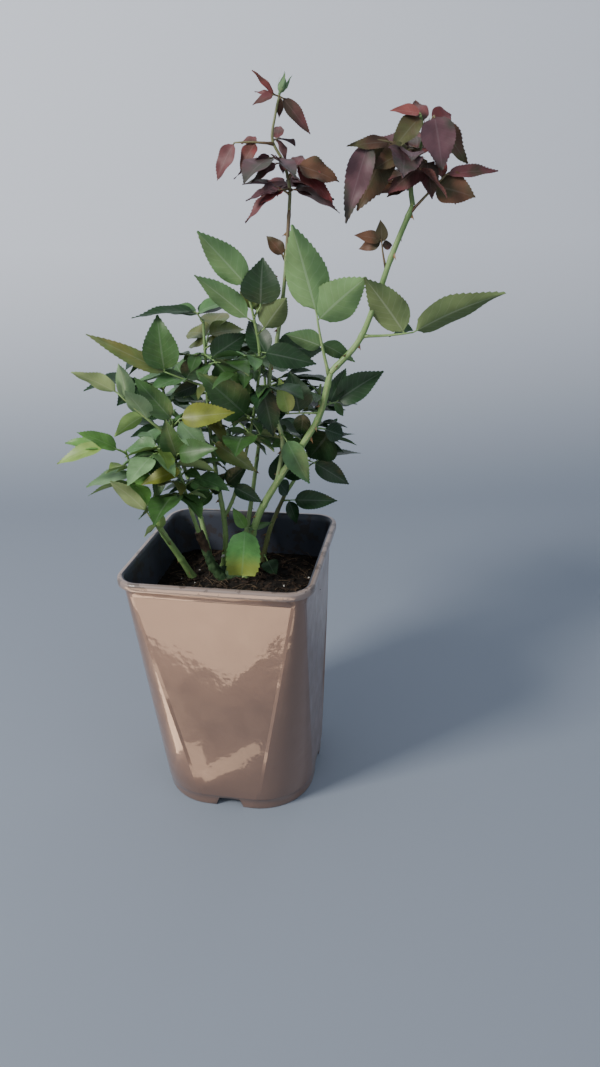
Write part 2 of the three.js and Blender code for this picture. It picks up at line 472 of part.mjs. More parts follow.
function build() {
  const group = new THREE.Group();
  const pot = makePot();
  const soil = makeSoil();
  const ground = solidOf(new THREE.BoxGeometry(400, 400, 80).translate(0, 0, SOIL_HEIGHT - 40));
  const foot = (limb) => ({ ...limb, route: limb.from ? limb.route : [limb.route[0].map((v, i) => (i === 2 ? v - FLARE.below : v)), ...limb.route] });

  // Canes. One that forks from another is cut clear of it.
  const canes = {};
  const spaces = {};
  for (const [name, limb] of Object.entries(CANES)) {
    let solid = limbSolid(foot(limb), CANE_CUT).subtract(ground);
    if (limb.from) solid = largestBody(solid.subtract(spaces[limb.from]));
    canes[name] = solid;
    spaces[name] = limbSolid(foot(limb), CANE_CUT, LIMB_CLEAR);
  }
  canes.right_cane_upper = canes.right_cane_upper.subtract(spaces.right_cane);

  // The bud union, a low woody knob that the canes rise round.
  const ball = new THREE.SphereGeometry(1, 10, 8).scale(KNOB.across, KNOB.deep, KNOB.high);
  let knob = solidOf(ball.translate(KNOB.x, KNOB.y, SOIL_HEIGHT + KNOB.lift)).subtract(ground);
  for (const space of Object.values(spaces)) knob = knob.subtract(space);
  knob = largestBody(knob);

  // Masses of foliage: a stem of its own where it has one, then its leaves in turn.
  const plans = [...LEAVES.map(leafPlan), ...FILL.flatMap(fillPlans)];
  const names = [...new Set(plans.map((plan) => plan.mass))];
  const stems = {};
  const stemSpaces = {};
  for (const [name, stem] of Object.entries(STEMS)) {
    stems[name] = largestBody(limbSolid(stem, STEM_CUT).subtract(spaces[stem.from]));
    stemSpaces[name] = limbSolid(stem, STEM_CUT, LIMB_CLEAR);
  }
  const masses = {};
  for (const name of names) {
    let mass = stems[name];
    const home = plans.find((plan) => plan.mass === name).limb;
    const around = [pot, soil, knob];
    for (const [other, space] of Object.entries(spaces)) if (other !== home) around.push(space);
    for (const [other, space] of Object.entries(stemSpaces)) if (other !== name) around.push(space);
    const neighbours = Object.values(masses);
    for (const plan of plans.filter((candidate) => candidate.mass === name)) mass = addLeaf(mass, plan, around, neighbours);
    if (!mass) continue;
    for (const space of Object.values(spaces)) mass = mass.subtract(space);
    for (const [other, space] of Object.entries(stemSpaces)) if (other !== name) mass = mass.subtract(space);
    masses[name] = largestBody(mass);
  }

  group.add(meshOf(pot, 'pot', MATERIALS.pot), meshOf(soil, 'soil', MATERIALS.soil), meshOf(knob, 'bud_union', MATERIALS.wood));
  for (const [name, solid] of Object.entries(canes)) group.add(meshOf(solid, name, name === 'old_stub' ? MATERIALS.wood : MATERIALS.cane));
  const red = ['red_shoot', 'tall_leaf', 'right_top', 'right_top_side', 'tall_top'];
  for (const [name, solid] of Object.entries(masses)) group.add(meshOf(solid, name, red.includes(name) ? MATERIALS.red : MATERIALS.green));
  return group;
}

export default build();
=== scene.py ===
# A young rose bush in a deep square plastic pot: canes with thorns, compound leaves, compost and the pot.
# Sizes are in millimetres in the tables and in metres on the objects. +X is right, +Y is away and +Z is up.
from math import acos, atan2, cos, exp, hypot, pi, radians, sin, sqrt
from types import SimpleNamespace as Named
import bmesh
import bpy
from mathutils import Matrix, Quaternion, Vector, noise
from mathutils.bvhtree import BVHTree


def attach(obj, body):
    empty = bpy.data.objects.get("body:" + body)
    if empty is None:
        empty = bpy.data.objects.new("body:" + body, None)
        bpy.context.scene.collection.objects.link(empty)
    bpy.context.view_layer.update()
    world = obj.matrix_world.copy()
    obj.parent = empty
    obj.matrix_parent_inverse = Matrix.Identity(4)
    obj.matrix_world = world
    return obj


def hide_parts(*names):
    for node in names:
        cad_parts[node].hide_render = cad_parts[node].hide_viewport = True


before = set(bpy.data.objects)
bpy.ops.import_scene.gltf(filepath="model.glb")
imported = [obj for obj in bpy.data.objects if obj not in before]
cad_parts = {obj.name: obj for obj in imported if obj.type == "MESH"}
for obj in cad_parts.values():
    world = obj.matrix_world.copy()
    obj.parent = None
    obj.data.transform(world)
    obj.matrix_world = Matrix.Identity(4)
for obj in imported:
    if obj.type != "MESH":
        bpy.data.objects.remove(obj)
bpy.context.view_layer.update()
MM = 0.001
UP = Vector((0, 0, 1))
GOLDEN_ANGLE = 137.5
FULL_TURN = 6.28
# What the random draws of each job start from
SEEDS = Named(growth=5, rule=11, finer=311, compost=77, thorns=900)
DRAW_MODULUS = 2147483647

# Camera, as fitted to the pot's rim and foot: its place in metres and its angles in degrees
CAMERA = Named(place=(0.0711, -0.7458, 0.6293), down=24.2, roll=-1.7, lens=26.01)

# Pot
POT = Named(width=200, height=282, turn=-11, soil=236)
LIP = Named(drop=8, corner=27)
# Points up and over the lip: height from the pot's top, and inset
LIP_CURVE = [(-8.4, 3), (-8, 0.8), (-7.2, 0), (-4, 0), (-2.6, 0), (-1.1, 0.35), (-0.3, 1.2), (0, 2.4),
             (0, 4.6)]
WALL = Named(top=94.5, foot=85.5, top_corner=22, foot_corner=60, thick=2.2)
PANEL = Named(deep=2.0, band=3.5, low=28, high=264, foot_half=33.8, top_half=79.5)
# Heights on the wall and the share of a panel's depth there, which fades out towards the foot
PANEL_LEVELS = [(14.7, 0), (28, 0), (44, 0.35), (66, 0.75), (95, 1), (130, 1), (170, 1), (215, 1), (264, 1)]
FOOT = Named(ring=6, recess=9, plate=3)
# Points up the foot, which is set in a little: height and inset
FOOT_CURVE = [(0, 1.6), (0.5, 0.95), (1.6, 0.7), (6, 0.7), (13.2, 0.7), (13.9, 0.1)]
NOTCH = Named(top=11.5, foot=15.5, high=11)
HOLE = Named(radius=5.5, depth=20, out=48, sides=28)
# Heights and radii of the pad under the floor
PAD_LEVELS = [(0, 17), (0.6, 18), (10, 18.5)]
CORNER_STEPS = 12

# Compost: rings and points round it, loose pieces on it, and a white grain that sticks to the middle cane
SOIL = Named(rings=64, turns=200, chips=900, straws=190, grains=16, lift=0.6, sag=5.5)
CANE_GRAIN = (-14.6, 22.6, 259.6)
# The bud union: its middle and its reach
UNION = Named(place=(-7, 24, 237), reach=(22, 15, 11.5))

# Canes: route, radius at the foot and at the tip
CANES = {
    "right_cane": (
        [(9, 15, 236), (24, 12, 303), (52, 8, 355), (77, 4, 392), (94, 0, 422), (105, -4, 465)], 4.2, 3.0),
    "right_cane_upper": (
        [(105, -4, 465), (131, -9, 494), (147, -14, 532), (161, -18, 573), (177, -22, 612)], 3.0, 2.4),
    "tall_cane": ([(49, 8, 351), (56, 14, 393), (47, 16, 427), (45, 18, 455), (54, 20, 492), (63, 22, 544),
                   (70, 24, 610)], 2.4, 1.7),
    "left_cane": ([(-50, 20, 236), (-59, 14, 260), (-77, 2, 306), (-80, -2, 329), (-75, -4, 348)], 3.8, 2.6),
    "old_stub": ([(-15, 14, 236), (-24, 12, 250), (-31, 11, 272), (-37, 9, 296)], 5.2, 4.4),
    "middle_cane": ([(-17, 27, 236), (-11, 26, 276), (-11, 27, 303), (-16, 30, 350)], 3.2, 2.4),
    "centre_cane": ([(-12, 27, 300), (2, 24, 330), (17, 20, 376)], 2.1, 1.8),
    "back_right_cane": ([(26, 52, 236), (38, 55, 278), (55, 56, 316)], 2.8, 2.2),
    "back_left_cane": ([(-30, 44, 236), (-44, 70, 296), (-62, 98, 346)], 3.0, 2.2),
    "back_cane": ([(2, 50, 236), (16, 78, 300), (26, 104, 356)], 3.0, 2.2),
}
FORKED = ("right_cane_upper", "tall_cane", "centre_cane")
CANE_LOOKS = {"old_stub": "old", "tall_cane": "tall_cane", "back_right_cane": "brown_cane"}

# Stems inside the masses of foliage, going on from the canes
STEMS = {
    "right_top": ([(177, -22, 612), (175, -22, 628), (182, -20, 656), (187, -18, 672)], 2.4, 1.2),
    "tall_top": (
        [(70, 24, 610), (71, 24, 630), (66, 25, 650), (57, 26, 668), (60, 26, 687), (65, 25, 705)], 1.7, 1.0),
    "left_crown": ([(-75, -4, 348), (-67, -6, 378), (-57, -8, 404), (-50, -10, 420)], 2.4, 1.3),
    "left_spray": ([(-79, -2, 325), (-90, -14, 360), (-98, -20, 398)], 1.7, 1.1),
    "shoot_crown": ([(-36, 9, 290), (-44, 5, 328), (-49, -2, 364), (-52, -10, 386)], 2.3, 1.3),
    "middle_crown": ([(-16, 30, 350), (-20, 32, 417), (-19, 33, 452), (-18, 34, 513)], 2.4, 1.3),
    "centre_crown": ([(17, 20, 376), (31, 15, 436), (37, 8, 484), (34, 0, 516), (29, -4, 544)], 1.8, 1.2),
    "back_right_crown": ([(55, 56, 316), (74, 60, 346), (92, 66, 392), (98, 74, 436)], 2.2, 1.2),
    "back_left_crown": ([(-62, 98, 346), (-76, 118, 400), (-84, 130, 456)], 2.2, 1.2),
    "back_crown": ([(26, 104, 356), (36, 122, 412), (34, 132, 478)], 2.2, 1.2),
}
LIMBS = {**CANES, **STEMS}
# Masses whose pieces are passed the slot name red_leaf instead of green_leaf, which piece does not use
RED_MASSES = ("red_shoot", "tall_leaf", "right_top", "right_top_side", "tall_top")

# Compound leaves that shape the outline: height on the limb, stalk (angle, away, length, bend), face and each
# leaflet (share of the stalk, angle, away, length, width share, tint). Angles are in the front plane.
# Here a mass is one leaf, and its limb follows its name.
SINGLE_LEAVES = [
    ("low_leaf", "right_cane", 300, (188, -30, 12, 0), 75, (1, 264, -18, 52, 0.72, "low"),
     (0.9, 120, 5, 26, 0.5, "fresh"), (0.9, 2, 20, 32, 0.24, "mid")),
    ("fork_leaf", "right_cane", 461, (104, -11, 63, -8), -75, (1, 104, -4, 82, 0.5, "sea"),
     (0.9, 43, -6, 60, 0.68, "sea"), (0.5, 158, 12, 36, 0.6, "dark"), (0.55, -32, 32, 42, 0.4, "dark")),
    ("right_leaf", "right_cane_upper", 500, (-1, -10, 48, -10), -60, (1, 28, 2, 87, 0.38, "mid"),
     (0.84, 124, -2, 66, 0.5, "mid"), (0.6, 10, 62, 42, 0.45, "dark")),
    ("red_shoot", "right_cane_upper", 558, (104, 8, 27, -10), 70, (1, 165, -10, 24, 0.5, "bronze"),
     (0.95, 196, 12, 22, 0.5, "bronze"), (0.9, 92, 0, 19, 0.6, "bronze"), (0.8, 5, 20, 11, 0.8, "wine")),
    ("right_top_side", "right_cane_upper", 606, (46, -14, 42, 0), 60, (1, 7, 6, 48, 0.25, "wine"),
     (0.7, -10, -24, 35, 0.86, "bronze"), (0.9, 96, 12, 26, 0.4, "red")),
    ("node_leaf_left", "right_cane", 424, (178, 14, 34, 10), 60, (1, 176, 22, 34, 0.6, "dark"),
     (0.62, 101, 6, 41, 0.8, "dark"), (0.5, 262, 14, 30, 0.6, "dark")),
    ("node_leaf_right", "right_cane", 432, (8, 22, 14, 0), 60, (1, 34, 4, 56, 0.52, "dark"),
     (0.5, 60, 26, 42, 0.4, "dark"), (0.9, -58, 20, 22, 0.4, "mid")),
    ("node_leaf_back", "right_cane", 408, (-12, 48, 30, 20), 70, (1, 238, 24, 54, 0.82, "dark"),
     (0.6, 330, 30, 34, 0.6, "dark")),
    ("twig_leaf_low", "tall_cane", 400, (-20, -70, 14, 0), 70, (1, -64, -14, 52, 0.48, "sea")),
    ("twig_leaf_top", "tall_cane", 428, (-10, -45, 24, 0), 70, (1, 102, -8, 36, 0.5, "lime")),
    ("tall_leaf", "tall_cane", 564, (110, 20, 8, 0), 60, (1, 128, 12, 24, 0.6, "bronze"),
     (0.9, 28, 26, 20, 0.5, "olive")),
    ("hanging_leaf", "left_cane", 282, (106, -38, 68, -8), -60, (1, 122, -10, 52, 0.48, "lime"),
     (0.5, 80, -10, 26, 0.5, "fresh"), (0.62, 205, -30, 17, 0.6, "lime")),
    ("middle_low", "middle_cane", 332, (160, -40, 12, 0), 50, (1, 152, -16, 32, 0.56, "mid"),
     (0.9, 60, -20, 30, 0.6, "dark"), (0.8, 214, -24, 24, 0.5, "mid")),
    ("middle_low_right", "middle_cane", 344, (4, -46, 26, 0), 55, (1, -24, -16, 34, 0.5, "dark"),
     (0.6, 50, -20, 34, 0.6, "dark")),
    ("right_low", "right_cane", 336, (30, 66, 36, 0), 50, (1, 4, 40, 40, 0.6, "dark"),
     (0.6, 84, 30, 34, 0.6, "dark"), (0.7, -60, 30, 30, 0.6, "dark")),
    ("back_low", "back_right_cane", 310, (30, -50, 22, 0), 60, (1, 2, -10, 48, 0.46, "dark"),
     (0.6, -72, -4, 30, 0.5, "dark")),
    ("soil_leaf", "back_right_cane", 247, (-35, -70, 14, 0), 35, (1, -20, -70, 28, 0.7, "dark")),
]
# Here the leaves of a mass grow on the stem of the same name.
CROWN_LEAVES = {
    "right_top": [
        (654, (160, -18, 47, 14), 70, (1, 250, -12, 66, 0.34, "plum"), (0.62, 242, -4, 58, 0.52, "bronze"),
         (0.6, 180, -28, 38, 0.3, "olive")),
        (650, (-30, -50, 12, 0), 60, (1, 212, -14, 40, 0.58, "wine"), (0.9, 283, -14, 30, 0.55, "wine")),
        (671, (60, -35, 13, 0), 70, (1, 280, -24, 43, 0.68, "plum"), (0.8, -42, 6, 50, 0.4, "olive"),
         (0.6, 20, 40, 34, 0.5, "red")),
        (668, (108, -15, 15, 0), 50, (1, 166, -4, 25, 0.5, "flame"), (0.9, 223, -16, 36, 0.56, "olive"),
         (0.5, 100, 40, 30, 0.5, "wine")),
        (656, (184, -34, 12, 0), 60, (1, 200, -30, 38, 0.56, "olive"), (0.9, 160, 12, 36, 0.5, "plum")),
        (640, (60, 60, 20, 0), 40, (1, 80, 50, 48, 0.55, "wine"), (0.8, 140, 50, 40, 0.5, "bronze"),
         (0.6, 10, 60, 42, 0.5, "wine")),
    ],
    "tall_top": [
        (628, (186, -40, 12, 0), 25, (1, 186, -14, 32, 0.42, "plum"), (0.9, 209, -8, 42, 0.36, "wine"),
         (0.6, 200, -26, 25, 0.5, "red")),
        (626, (20, -60, 9, 0), 30, (1, -17, -6, 45, 0.36, "wine"), (0.8, -4, 14, 40, 0.36, "plum")),
        (636, (54, -42, 18, 0), 45, (1, -15, -4, 40, 0.62, "bronze"), (0.9, -37, -14, 44, 0.44, "red"),
         (0.7, 60, 50, 28, 0.5, "wine")),
        (650, (190, -30, 7, 0), 40, (1, 206, -12, 28, 0.42, "wine")),
        (665, (172, -4, 35, 10), 50, (1, 234, -6, 35, 0.46, "wine"), (0.45, 230, -14, 26, 0.56, "red"),
         (0.4, 168, 30, 22, 0.5, "wine")),
        (668, (20, 70, 16, 0), 20, (1, 0, 60, 32, 0.5, "wine"), (0.7, 80, 50, 24, 0.5, "wine"),
         (0.7, 300, 40, 24, 0.5, "plum")),
        (702, (165, -20, 5, 0), 60, (1, 196, -10, 20, 0.4, "wine"), (0.9, 130, 0, 27, 0.2, "red"),
         (0.7, 164, 14, 20, 0.22, "wine")),
        (702, (-24, -10, 3, 0), 60, (1, -48, -12, 37, 0.36, "wine"), (0.6, -100, 24, 18, 0.4, "wine")),
    ],
    "left_crown": [
        (416, (50, -24, 16, 0), 60, (1, 11, -14, 54, 0.46, "gold"), (0.8, -48, -10, 42, 0.54, "mint")),
        (418, (84, -24, 8, 0), 70, (1, 125, -6, 53, 0.44, "mid")),
        (408, (133, -18, 68, -6), -60, (1, 143, -6, 44, 0.46, "lime"), (0.8, 91, -6, 40, 0.46, "mint"),
         (0.4, 111, -22, 44, 0.5, "mint"), (0.5, 206, -10, 34, 0.6, "fresh")),
    ],
    "left_spray": [
        (395, (142, -20, 22, 12), 35, (1, 190, -12, 50, 0.36, "lime"), (0.85, 170, 8, 46, 0.36, "fresh"),
         (0.4, 138, -20, 42, 0.44, "fresh")),
    ],
    "shoot_crown": [
        (378, (10, -70, 24, 0), 40, (1, 190, -12, 42, 0.42, "gold")),
        (370, (176, -20, 28, 10), 40, (1, 190, -26, 34, 0.5, "fresh"), (0.6, 140, -30, 30, 0.6, "mid"),
         (0.6, 250, -30, 28, 0.5, "mid")),
        (384, (60, -40, 12, 0), 60, (1, 20, -30, 44, 0.56, "mid"), (0.6, 100, -20, 40, 0.6, "mid")),
    ],
    "middle_crown": [
        (446, (157, -12, 45, -4), 80, (1, 93, -6, 54, 0.7, "mid"), (0.92, 150, -8, 86, 0.2, "moss"),
         (0.5, 58, -10, 31, 0.7, "dark"), (0.2, 197, -16, 30, 0.5, "dark")),
        (510, (120, -10, 12, 0), 20, (1, 173, -8, 62, 0.3, "dark"), (0.9, 26, -4, 42, 0.62, "sea"),
         (0.8, 166, 12, 40, 0.62, "sea"), (0.8, 20, 30, 38, 0.6, "dark")),
        (478, (-10, -60, 22, 0), 75, (1, -50, -6, 56, 0.6, "mid"), (0.5, 30, 10, 44, 0.6, "dark")),
        (392, (40, -76, 28, 0), 60, (1, -33, -10, 52, 0.42, "moss")),
    ],
    "centre_crown": [
        (540, (90, -8, 7, 0), -80, (1, 129, -6, 66, 0.46, "sea"), (0.5, 24, 56, 40, 0.6, "bronze")),
        (514, (150, -14, 6, 0), -70, (1, 135, -10, 66, 0.36, "sea")),
        (518, (58, -20, 14, 0), 70, (1, 86, -6, 42, 0.9, "dark"), (0.5, 100, 40, 46, 0.6, "moss")),
        (502, (40, -24, 9, 0), -70, (1, 54, -10, 40, 0.72, "mid")),
        (476, (20, 60, 30, 0), 60, (1, 0, 14, 54, 0.6, "dark"), (0.5, 120, 30, 44, 0.6, "dark")),
        (484, (20, -60, 8, 0), 60, (1, -10, -8, 52, 0.48, "dark")),
        (450, (0, -60, 10, 0), 60, (1, -78, -10, 50, 0.5, "dark")),
        (418, (150, -46, 10, 0), 70, (1, 128, -26, 66, 0.58, "mid")),
    ],
    "back_right_crown": [
        (356, (-10, -36, 12, 0), 60, (1, -30, -10, 46, 0.5, "dark")),
    ],
}

# Leaves by rule: mass, lowest and highest height on its stem, leaves, stalk, heading, more leaves, tints
FILL = [
    ("right_top", 620, 662, 2, 24, 70, 3, ("wine", "plum", "red", "bronze")),
    ("tall_top", 616, 664, 2, 20, 100, 2, ("wine", "plum", "bronze")),
    ("left_crown", 356, 398, 4, 28, 200, 6, ("mint", "lime", "sea", "mint")),
    ("shoot_crown", 336, 366, 3, 26, 250, 4, ("mid", "sea", "moss", "mid")),
    ("left_spray", 352, 384, 2, 22, 250, 3, ("fresh", "mint", "lime")),
    ("middle_crown", 356, 492, 8, 32, 200, 12, ("mid", "sea", "mid", "moss")),
    ("centre_crown", 384, 488, 6, 28, 260, 9, ("mid", "sea", "mid", "dark")),
    ("back_right_crown", 328, 434, 5, 32, 20, 9, ("dark", "mid", "dark")),
    ("back_left_crown", 354, 454, 5, 34, 150, 9, ("dark", "mid", "sea")),
    ("back_crown", 364, 476, 5, 34, 60, 9, ("dark", "mid", "dark")),
]
# Leaflets of such a leaf: share of the stalk, turn, and share of the leaf's size
RULE_PARTS = ((1, 0, 1), (0.68, 62, 0.84), (0.68, -62, 0.84), (0.34, 66, 0.58), (0.34, -66, 0.58))
# Leaves by rule and the finer ones between them: rise, size, droop and stalk as bounds, angles in degrees
RULE = Named(rise=(12, 26), size=(0.82, 0.34), tilt=24, sway=16, droop=(0.25, 0.3), width=0.62)
FINER = Named(rise=(4, 46), size=(0.5, 0.32), tilt=30, stalk=(0.6, 0.4), turn=68, sway=20)
# Length of a middling end leaflet
MID_LEAF = 50
# A stalk: steps and sides, bend in degrees, how thick it is and what its leaflet and reach add, and how much
# thicker it is at its foot and past it, with the taper
STALK = Named(steps=6, sides=6, bend=18, thick=0.72, by_leaf=0.004, by_reach=0.009, foot=1.7,
              start=1.15, taper=0.1)
# A leaflet's own stalk: its share of the length, the share where the blade starts, and its radius
OWN_STALK = Named(share=0.06, blade=0.04, radius=0.75, sides=5)

# Upper and under colours of the leaf tints
TINTS = {
    "wine": ((0.116, 0.040, 0.044), (0.105, 0.043, 0.040)),
    "plum": ((0.086, 0.042, 0.052), (0.120, 0.060, 0.065)),
    "red": ((0.170, 0.038, 0.040), (0.150, 0.045, 0.042)),
    "flame": ((0.200, 0.058, 0.052), (0.230, 0.078, 0.066)),
    "bronze": ((0.100, 0.050, 0.030), (0.140, 0.080, 0.045)),
    "olive": ((0.060, 0.062, 0.026), (0.120, 0.120, 0.060)),
    "moss": ((0.072, 0.108, 0.030), (0.120, 0.160, 0.070)),
    "dark": ((0.009, 0.033, 0.010), (0.070, 0.140, 0.056)),
    "mid": ((0.034, 0.088, 0.022), (0.110, 0.162, 0.064)),
    "sea": ((0.060, 0.142, 0.048), (0.140, 0.260, 0.100)),
    "mint": ((0.130, 0.235, 0.105), (0.190, 0.300, 0.150)),
    "fresh": ((0.085, 0.205, 0.040), (0.190, 0.310, 0.090)),
    "low": ((0.122, 0.315, 0.088), (0.180, 0.300, 0.110)),
    "lime": ((0.170, 0.270, 0.060), (0.270, 0.370, 0.140)),
    "gold": ((0.130, 0.155, 0.018), (0.190, 0.215, 0.050)),
}
TINT_NAMES = list(TINTS)
# Tints whose leaves turn to a second colour in patches, and those that turn towards the tip
PATCHES = {"wine": (0.040, 0.034, 0.022), "plum": (0.042, 0.048, 0.036), "red": (0.070, 0.030, 0.022),
           "bronze": (0.046, 0.048, 0.024), "olive": (0.075, 0.034, 0.026), "moss": (0.110, 0.120, 0.030)}
TIPS = {"low": (0.27, 0.30, 0.060)}
# Tints of the young leaves, which are duller and more wavy and sit on red stalks
YOUNG_TINTS = ("wine", "plum", "red", "bronze", "olive")
# Leaf skins: roughness, specular level, strength of the veins, darkest and lightest mottling, relief
LEAF_SKINS = {"under": (0.62, 0.2, 0.55, 0.88, 1.1, 0.35), "young": (0.52, 0.2, 0.18, 0.78, 1.22, 0.5),
              "grown": (0.44, 0.3, 0.28, 0.78, 1.22, 0.5)}
# Side veins: slant, stray, how many and how wide, the midrib's width, and how faint they are beside it
VEINS = Named(slant=0.2, stray=0.07, count=8.5, wide=0.13, rib=0.055, faint=0.3)
BLACK = (0, 0, 0)
WHITE = (1, 1, 1)
# Heights in metres: where the tall cane turns brown, and from where the old stub is dry
TALL_BROWN = (0.585, 0.615)
STUB_DRY = 0.284
# How far down the rim is grey and dirty, and how far under the compost the dirt inside starts
RIM = Named(grey=7.8, dirt=5.5, under_soil=4)


def seeded(seed):
    """A small generator that gives the same numbers on every machine."""
    state = (seed * 7919 + 104729) % DRAW_MODULUS

    def draw():
        nonlocal state
        state = (state * 16807) % DRAW_MODULUS
        return state / DRAW_MODULUS
    return draw


def drawn(draw, bounds):
    """A random value. Its bounds are the least one and what chance adds to that."""
    least, more = bounds
    return least + more * draw()


def lerp(a, b, t):
    return a + (b - a) * t


def aim(angle, away):
    """A direction by its angle in the front plane and its turn away from it, in degrees."""
    flat = cos(radians(away))
    return Vector((flat * cos(radians(angle)), sin(radians(away)), flat * sin(radians(angle))))


def towards(heading, rise):
    """A direction by its heading seen from above and its rise, in degrees."""
    x, z, y = aim(heading, rise)
    return Vector((x, y, z))


# Curves

PATH_STEP = 1.6


def spline_step(a, b, c, d, t):
    """A point between b and c on the centripetal Catmull-Rom curve through a, b, c and d."""
    t1 = max((b - a).length ** 0.5, 1e-6)
    t2 = t1 + max((c - b).length ** 0.5, 1e-6)
    t3 = t2 + max((d - c).length ** 0.5, 1e-6)
    at = t1 + (t2 - t1) * t

    def between(p, q, low, high):
        return p * ((high - at) / (high - low)) + q * ((at - low) / (high - low))
    ab = between(a, b, 0, t1)
    bc = between(b, c, t1, t2)
    cd = between(c, d, t2, t3)
    return between(between(ab, bc, 0, t2), between(bc, cd, t1, t3), t1, t2)


def smooth_path(points):
    """Evenly spaced points on a smooth curve through the given ones."""
    given = [Vector(p) for p in points]
    given = [given[0] * 2 - given[1]] + given + [given[-1] * 2 - given[-2]]
    fine = [given[1]]
    for k in range(1, len(given) - 2):
        fine += [spline_step(*given[k - 1:k + 3], i / 16) for i in range(1, 17)]
    lengths = [0]
    for a, b in zip(fine, fine[1:]):
        lengths.append(lengths[-1] + (b - a).length)
    count = max(3, round(lengths[-1] / PATH_STEP))
    out = []
    k = 0
    for i in range(count + 1):
        want = lengths[-1] * i / count
        while k + 2 < len(fine) and lengths[k + 1] < want:
            k += 1
        part = (want - lengths[k]) / max(lengths[k + 1] - lengths[k], 1e-9)
        out.append(fine[k].lerp(fine[k + 1], part))
    return out


PATHS = {name: smooth_path(limb[0]) for name, limb in LIMBS.items()}


def point_at_height(path, height):
    for a, b in zip(path, path[1:]):
        if a.z <= height <= b.z:
            return a.lerp(b, (height - a.z) / max(b.z - a.z, 1e-6))
    return path[-1] if height > path[-1].z else path[0]


def share_of(path, share):
    place = min(share, 0.999) * (len(path) - 1)
    k = int(place)
    return path[k].lerp(path[k + 1], place - k)


def frames_along(path):
    """A tangent and a normal at each point, turning as little as possible."""
    frames = []
    for k in range(len(path)):
        tangent = (path[min(k + 1, len(path) - 1)] - path[max(k - 1, 0)]).normalized()
        if k == 0:
            normal = tangent.orthogonal().normalized()
        normal = (normal - tangent * normal.dot(tangent)).normalized()
        frames.append((tangent, normal))
    return frames


# Meshes

def add_object(name, data):
    made = bpy.data.objects.new(name, data)
    bpy.context.scene.collection.objects.link(made)
    return made


def grid(rows, columns, closed=False):
    """Faces between rows of points. Closed rows are rings."""
    faces = []
    for k in range(rows - 1):
        for i in range(columns if closed else columns - 1):
            a = k * columns + i
            b = k * columns + (i + 1) % columns
            faces.append((a, b, b + columns, a + columns))
    return faces


def flipped(faces):
    return [(a, d, c, b) for a, b, c, d in faces]


def ball(level, radius, moved):
    """A small ball's points, each moved by a rule, and its faces."""
    shape = bmesh.new()
    bmesh.ops.create_icosphere(shape, subdivisions=level, radius=radius)
    points = [moved(v.co) for v in shape.verts]
    faces = [[v.index for v in f.verts] for f in shape.faces]
    shape.free()
    return points, faces


class Patch:
    """Points, faces, face coordinates and material numbers of one growing mesh."""

    def __init__(self):
        self.points = []
        self.faces = []
        self.uvs = []
        self.kinds = []

    def add(self, points, faces, uvs=None, kind=0):
        first = len(self.points)
        self.points.extend(points)
        for face in faces:
            self.faces.append([first + i for i in face])
            self.kinds.append(kind)
            self.uvs.extend([uvs[i] for i in face] if uvs else [(0, 0)] * len(face))

    def piece(self, name, materials, slot, nodes=(), smooth=True):
        mesh = bpy.data.meshes.new(name)
        mesh.from_pydata([tuple(p * MM) for p in self.points], [], self.faces)
        layer = mesh.uv_layers.new(name="UVMap")
        layer.data.foreach_set("uv", [c for uv in self.uvs for c in uv])
        for material in materials:
            mesh.materials.append(material)
        mesh.polygons.foreach_set("material_index", self.kinds)
        mesh.polygons.foreach_set("use_smooth", [smooth] * len(self.faces))
        mesh.update()
        made = add_object(name, mesh)
        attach(made, "root")
        if nodes:
            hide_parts(*nodes)
        return made


def add_tube(patch, path, radius_at, sides, kind=0, cap=True):
    """A tube along a path. radius_at takes the point's number and the angle round it."""
    points = []
    uvs = []
    run = 0
    for k, (here, (tangent, normal)) in enumerate(zip(path, frames_along(path))):
        side = tangent.cross(normal)
        run += (here - path[k - 1]).length if k else 0
        for i in range(sides):
            angle = 2 * pi * i / sides
            reach = radius_at(k, angle)
            points.append(here + normal * reach * cos(angle) + side * reach * sin(angle))
            uvs.append((i / sides, run / 20))
    faces = grid(len(path), sides, True)
    if cap:
        last = (len(path) - 1) * sides
        faces.append(tuple(range(last, last + sides)))
        faces.append(tuple(reversed(range(sides))))
    patch.add(points, faces, uvs, kind)


# Leaflets

# How fast a leaflet widens and narrows, its teeth on a side, and their size
POINTED_LEAF = (0.60, 1.15, 16, 0.015)
BLUNT_LEAF = (0.30, 0.20, 9, 0.04)
# Bounds of the fold and curl, in degrees, and of the waves, and how much more young leaves wave; the twist;
# and how thick a leaflet is in the middle, and how much its midrib adds
LEAFLET = Named(fold=(11, 10), curl=(20, 8), wave=(0.008, 0.014), young_wave=1.8, twist=0.25,
                skin=0.32, rib=0.45)
# Where a leaflet's points lie across it, from edge to edge
ACROSS = (-1, -0.52, 0, 0.52, 1)


def leaf_width(share, rise=0.58, fall=0.98):
    """Half width of a leaflet along its length: round at the base, widest before the middle, and pointed."""
    if not 0 < share < 1:
        return 0.0
    widest = rise / (rise + fall)
    return (share / widest) ** rise * ((1 - share) / (1 - widest)) ** fall


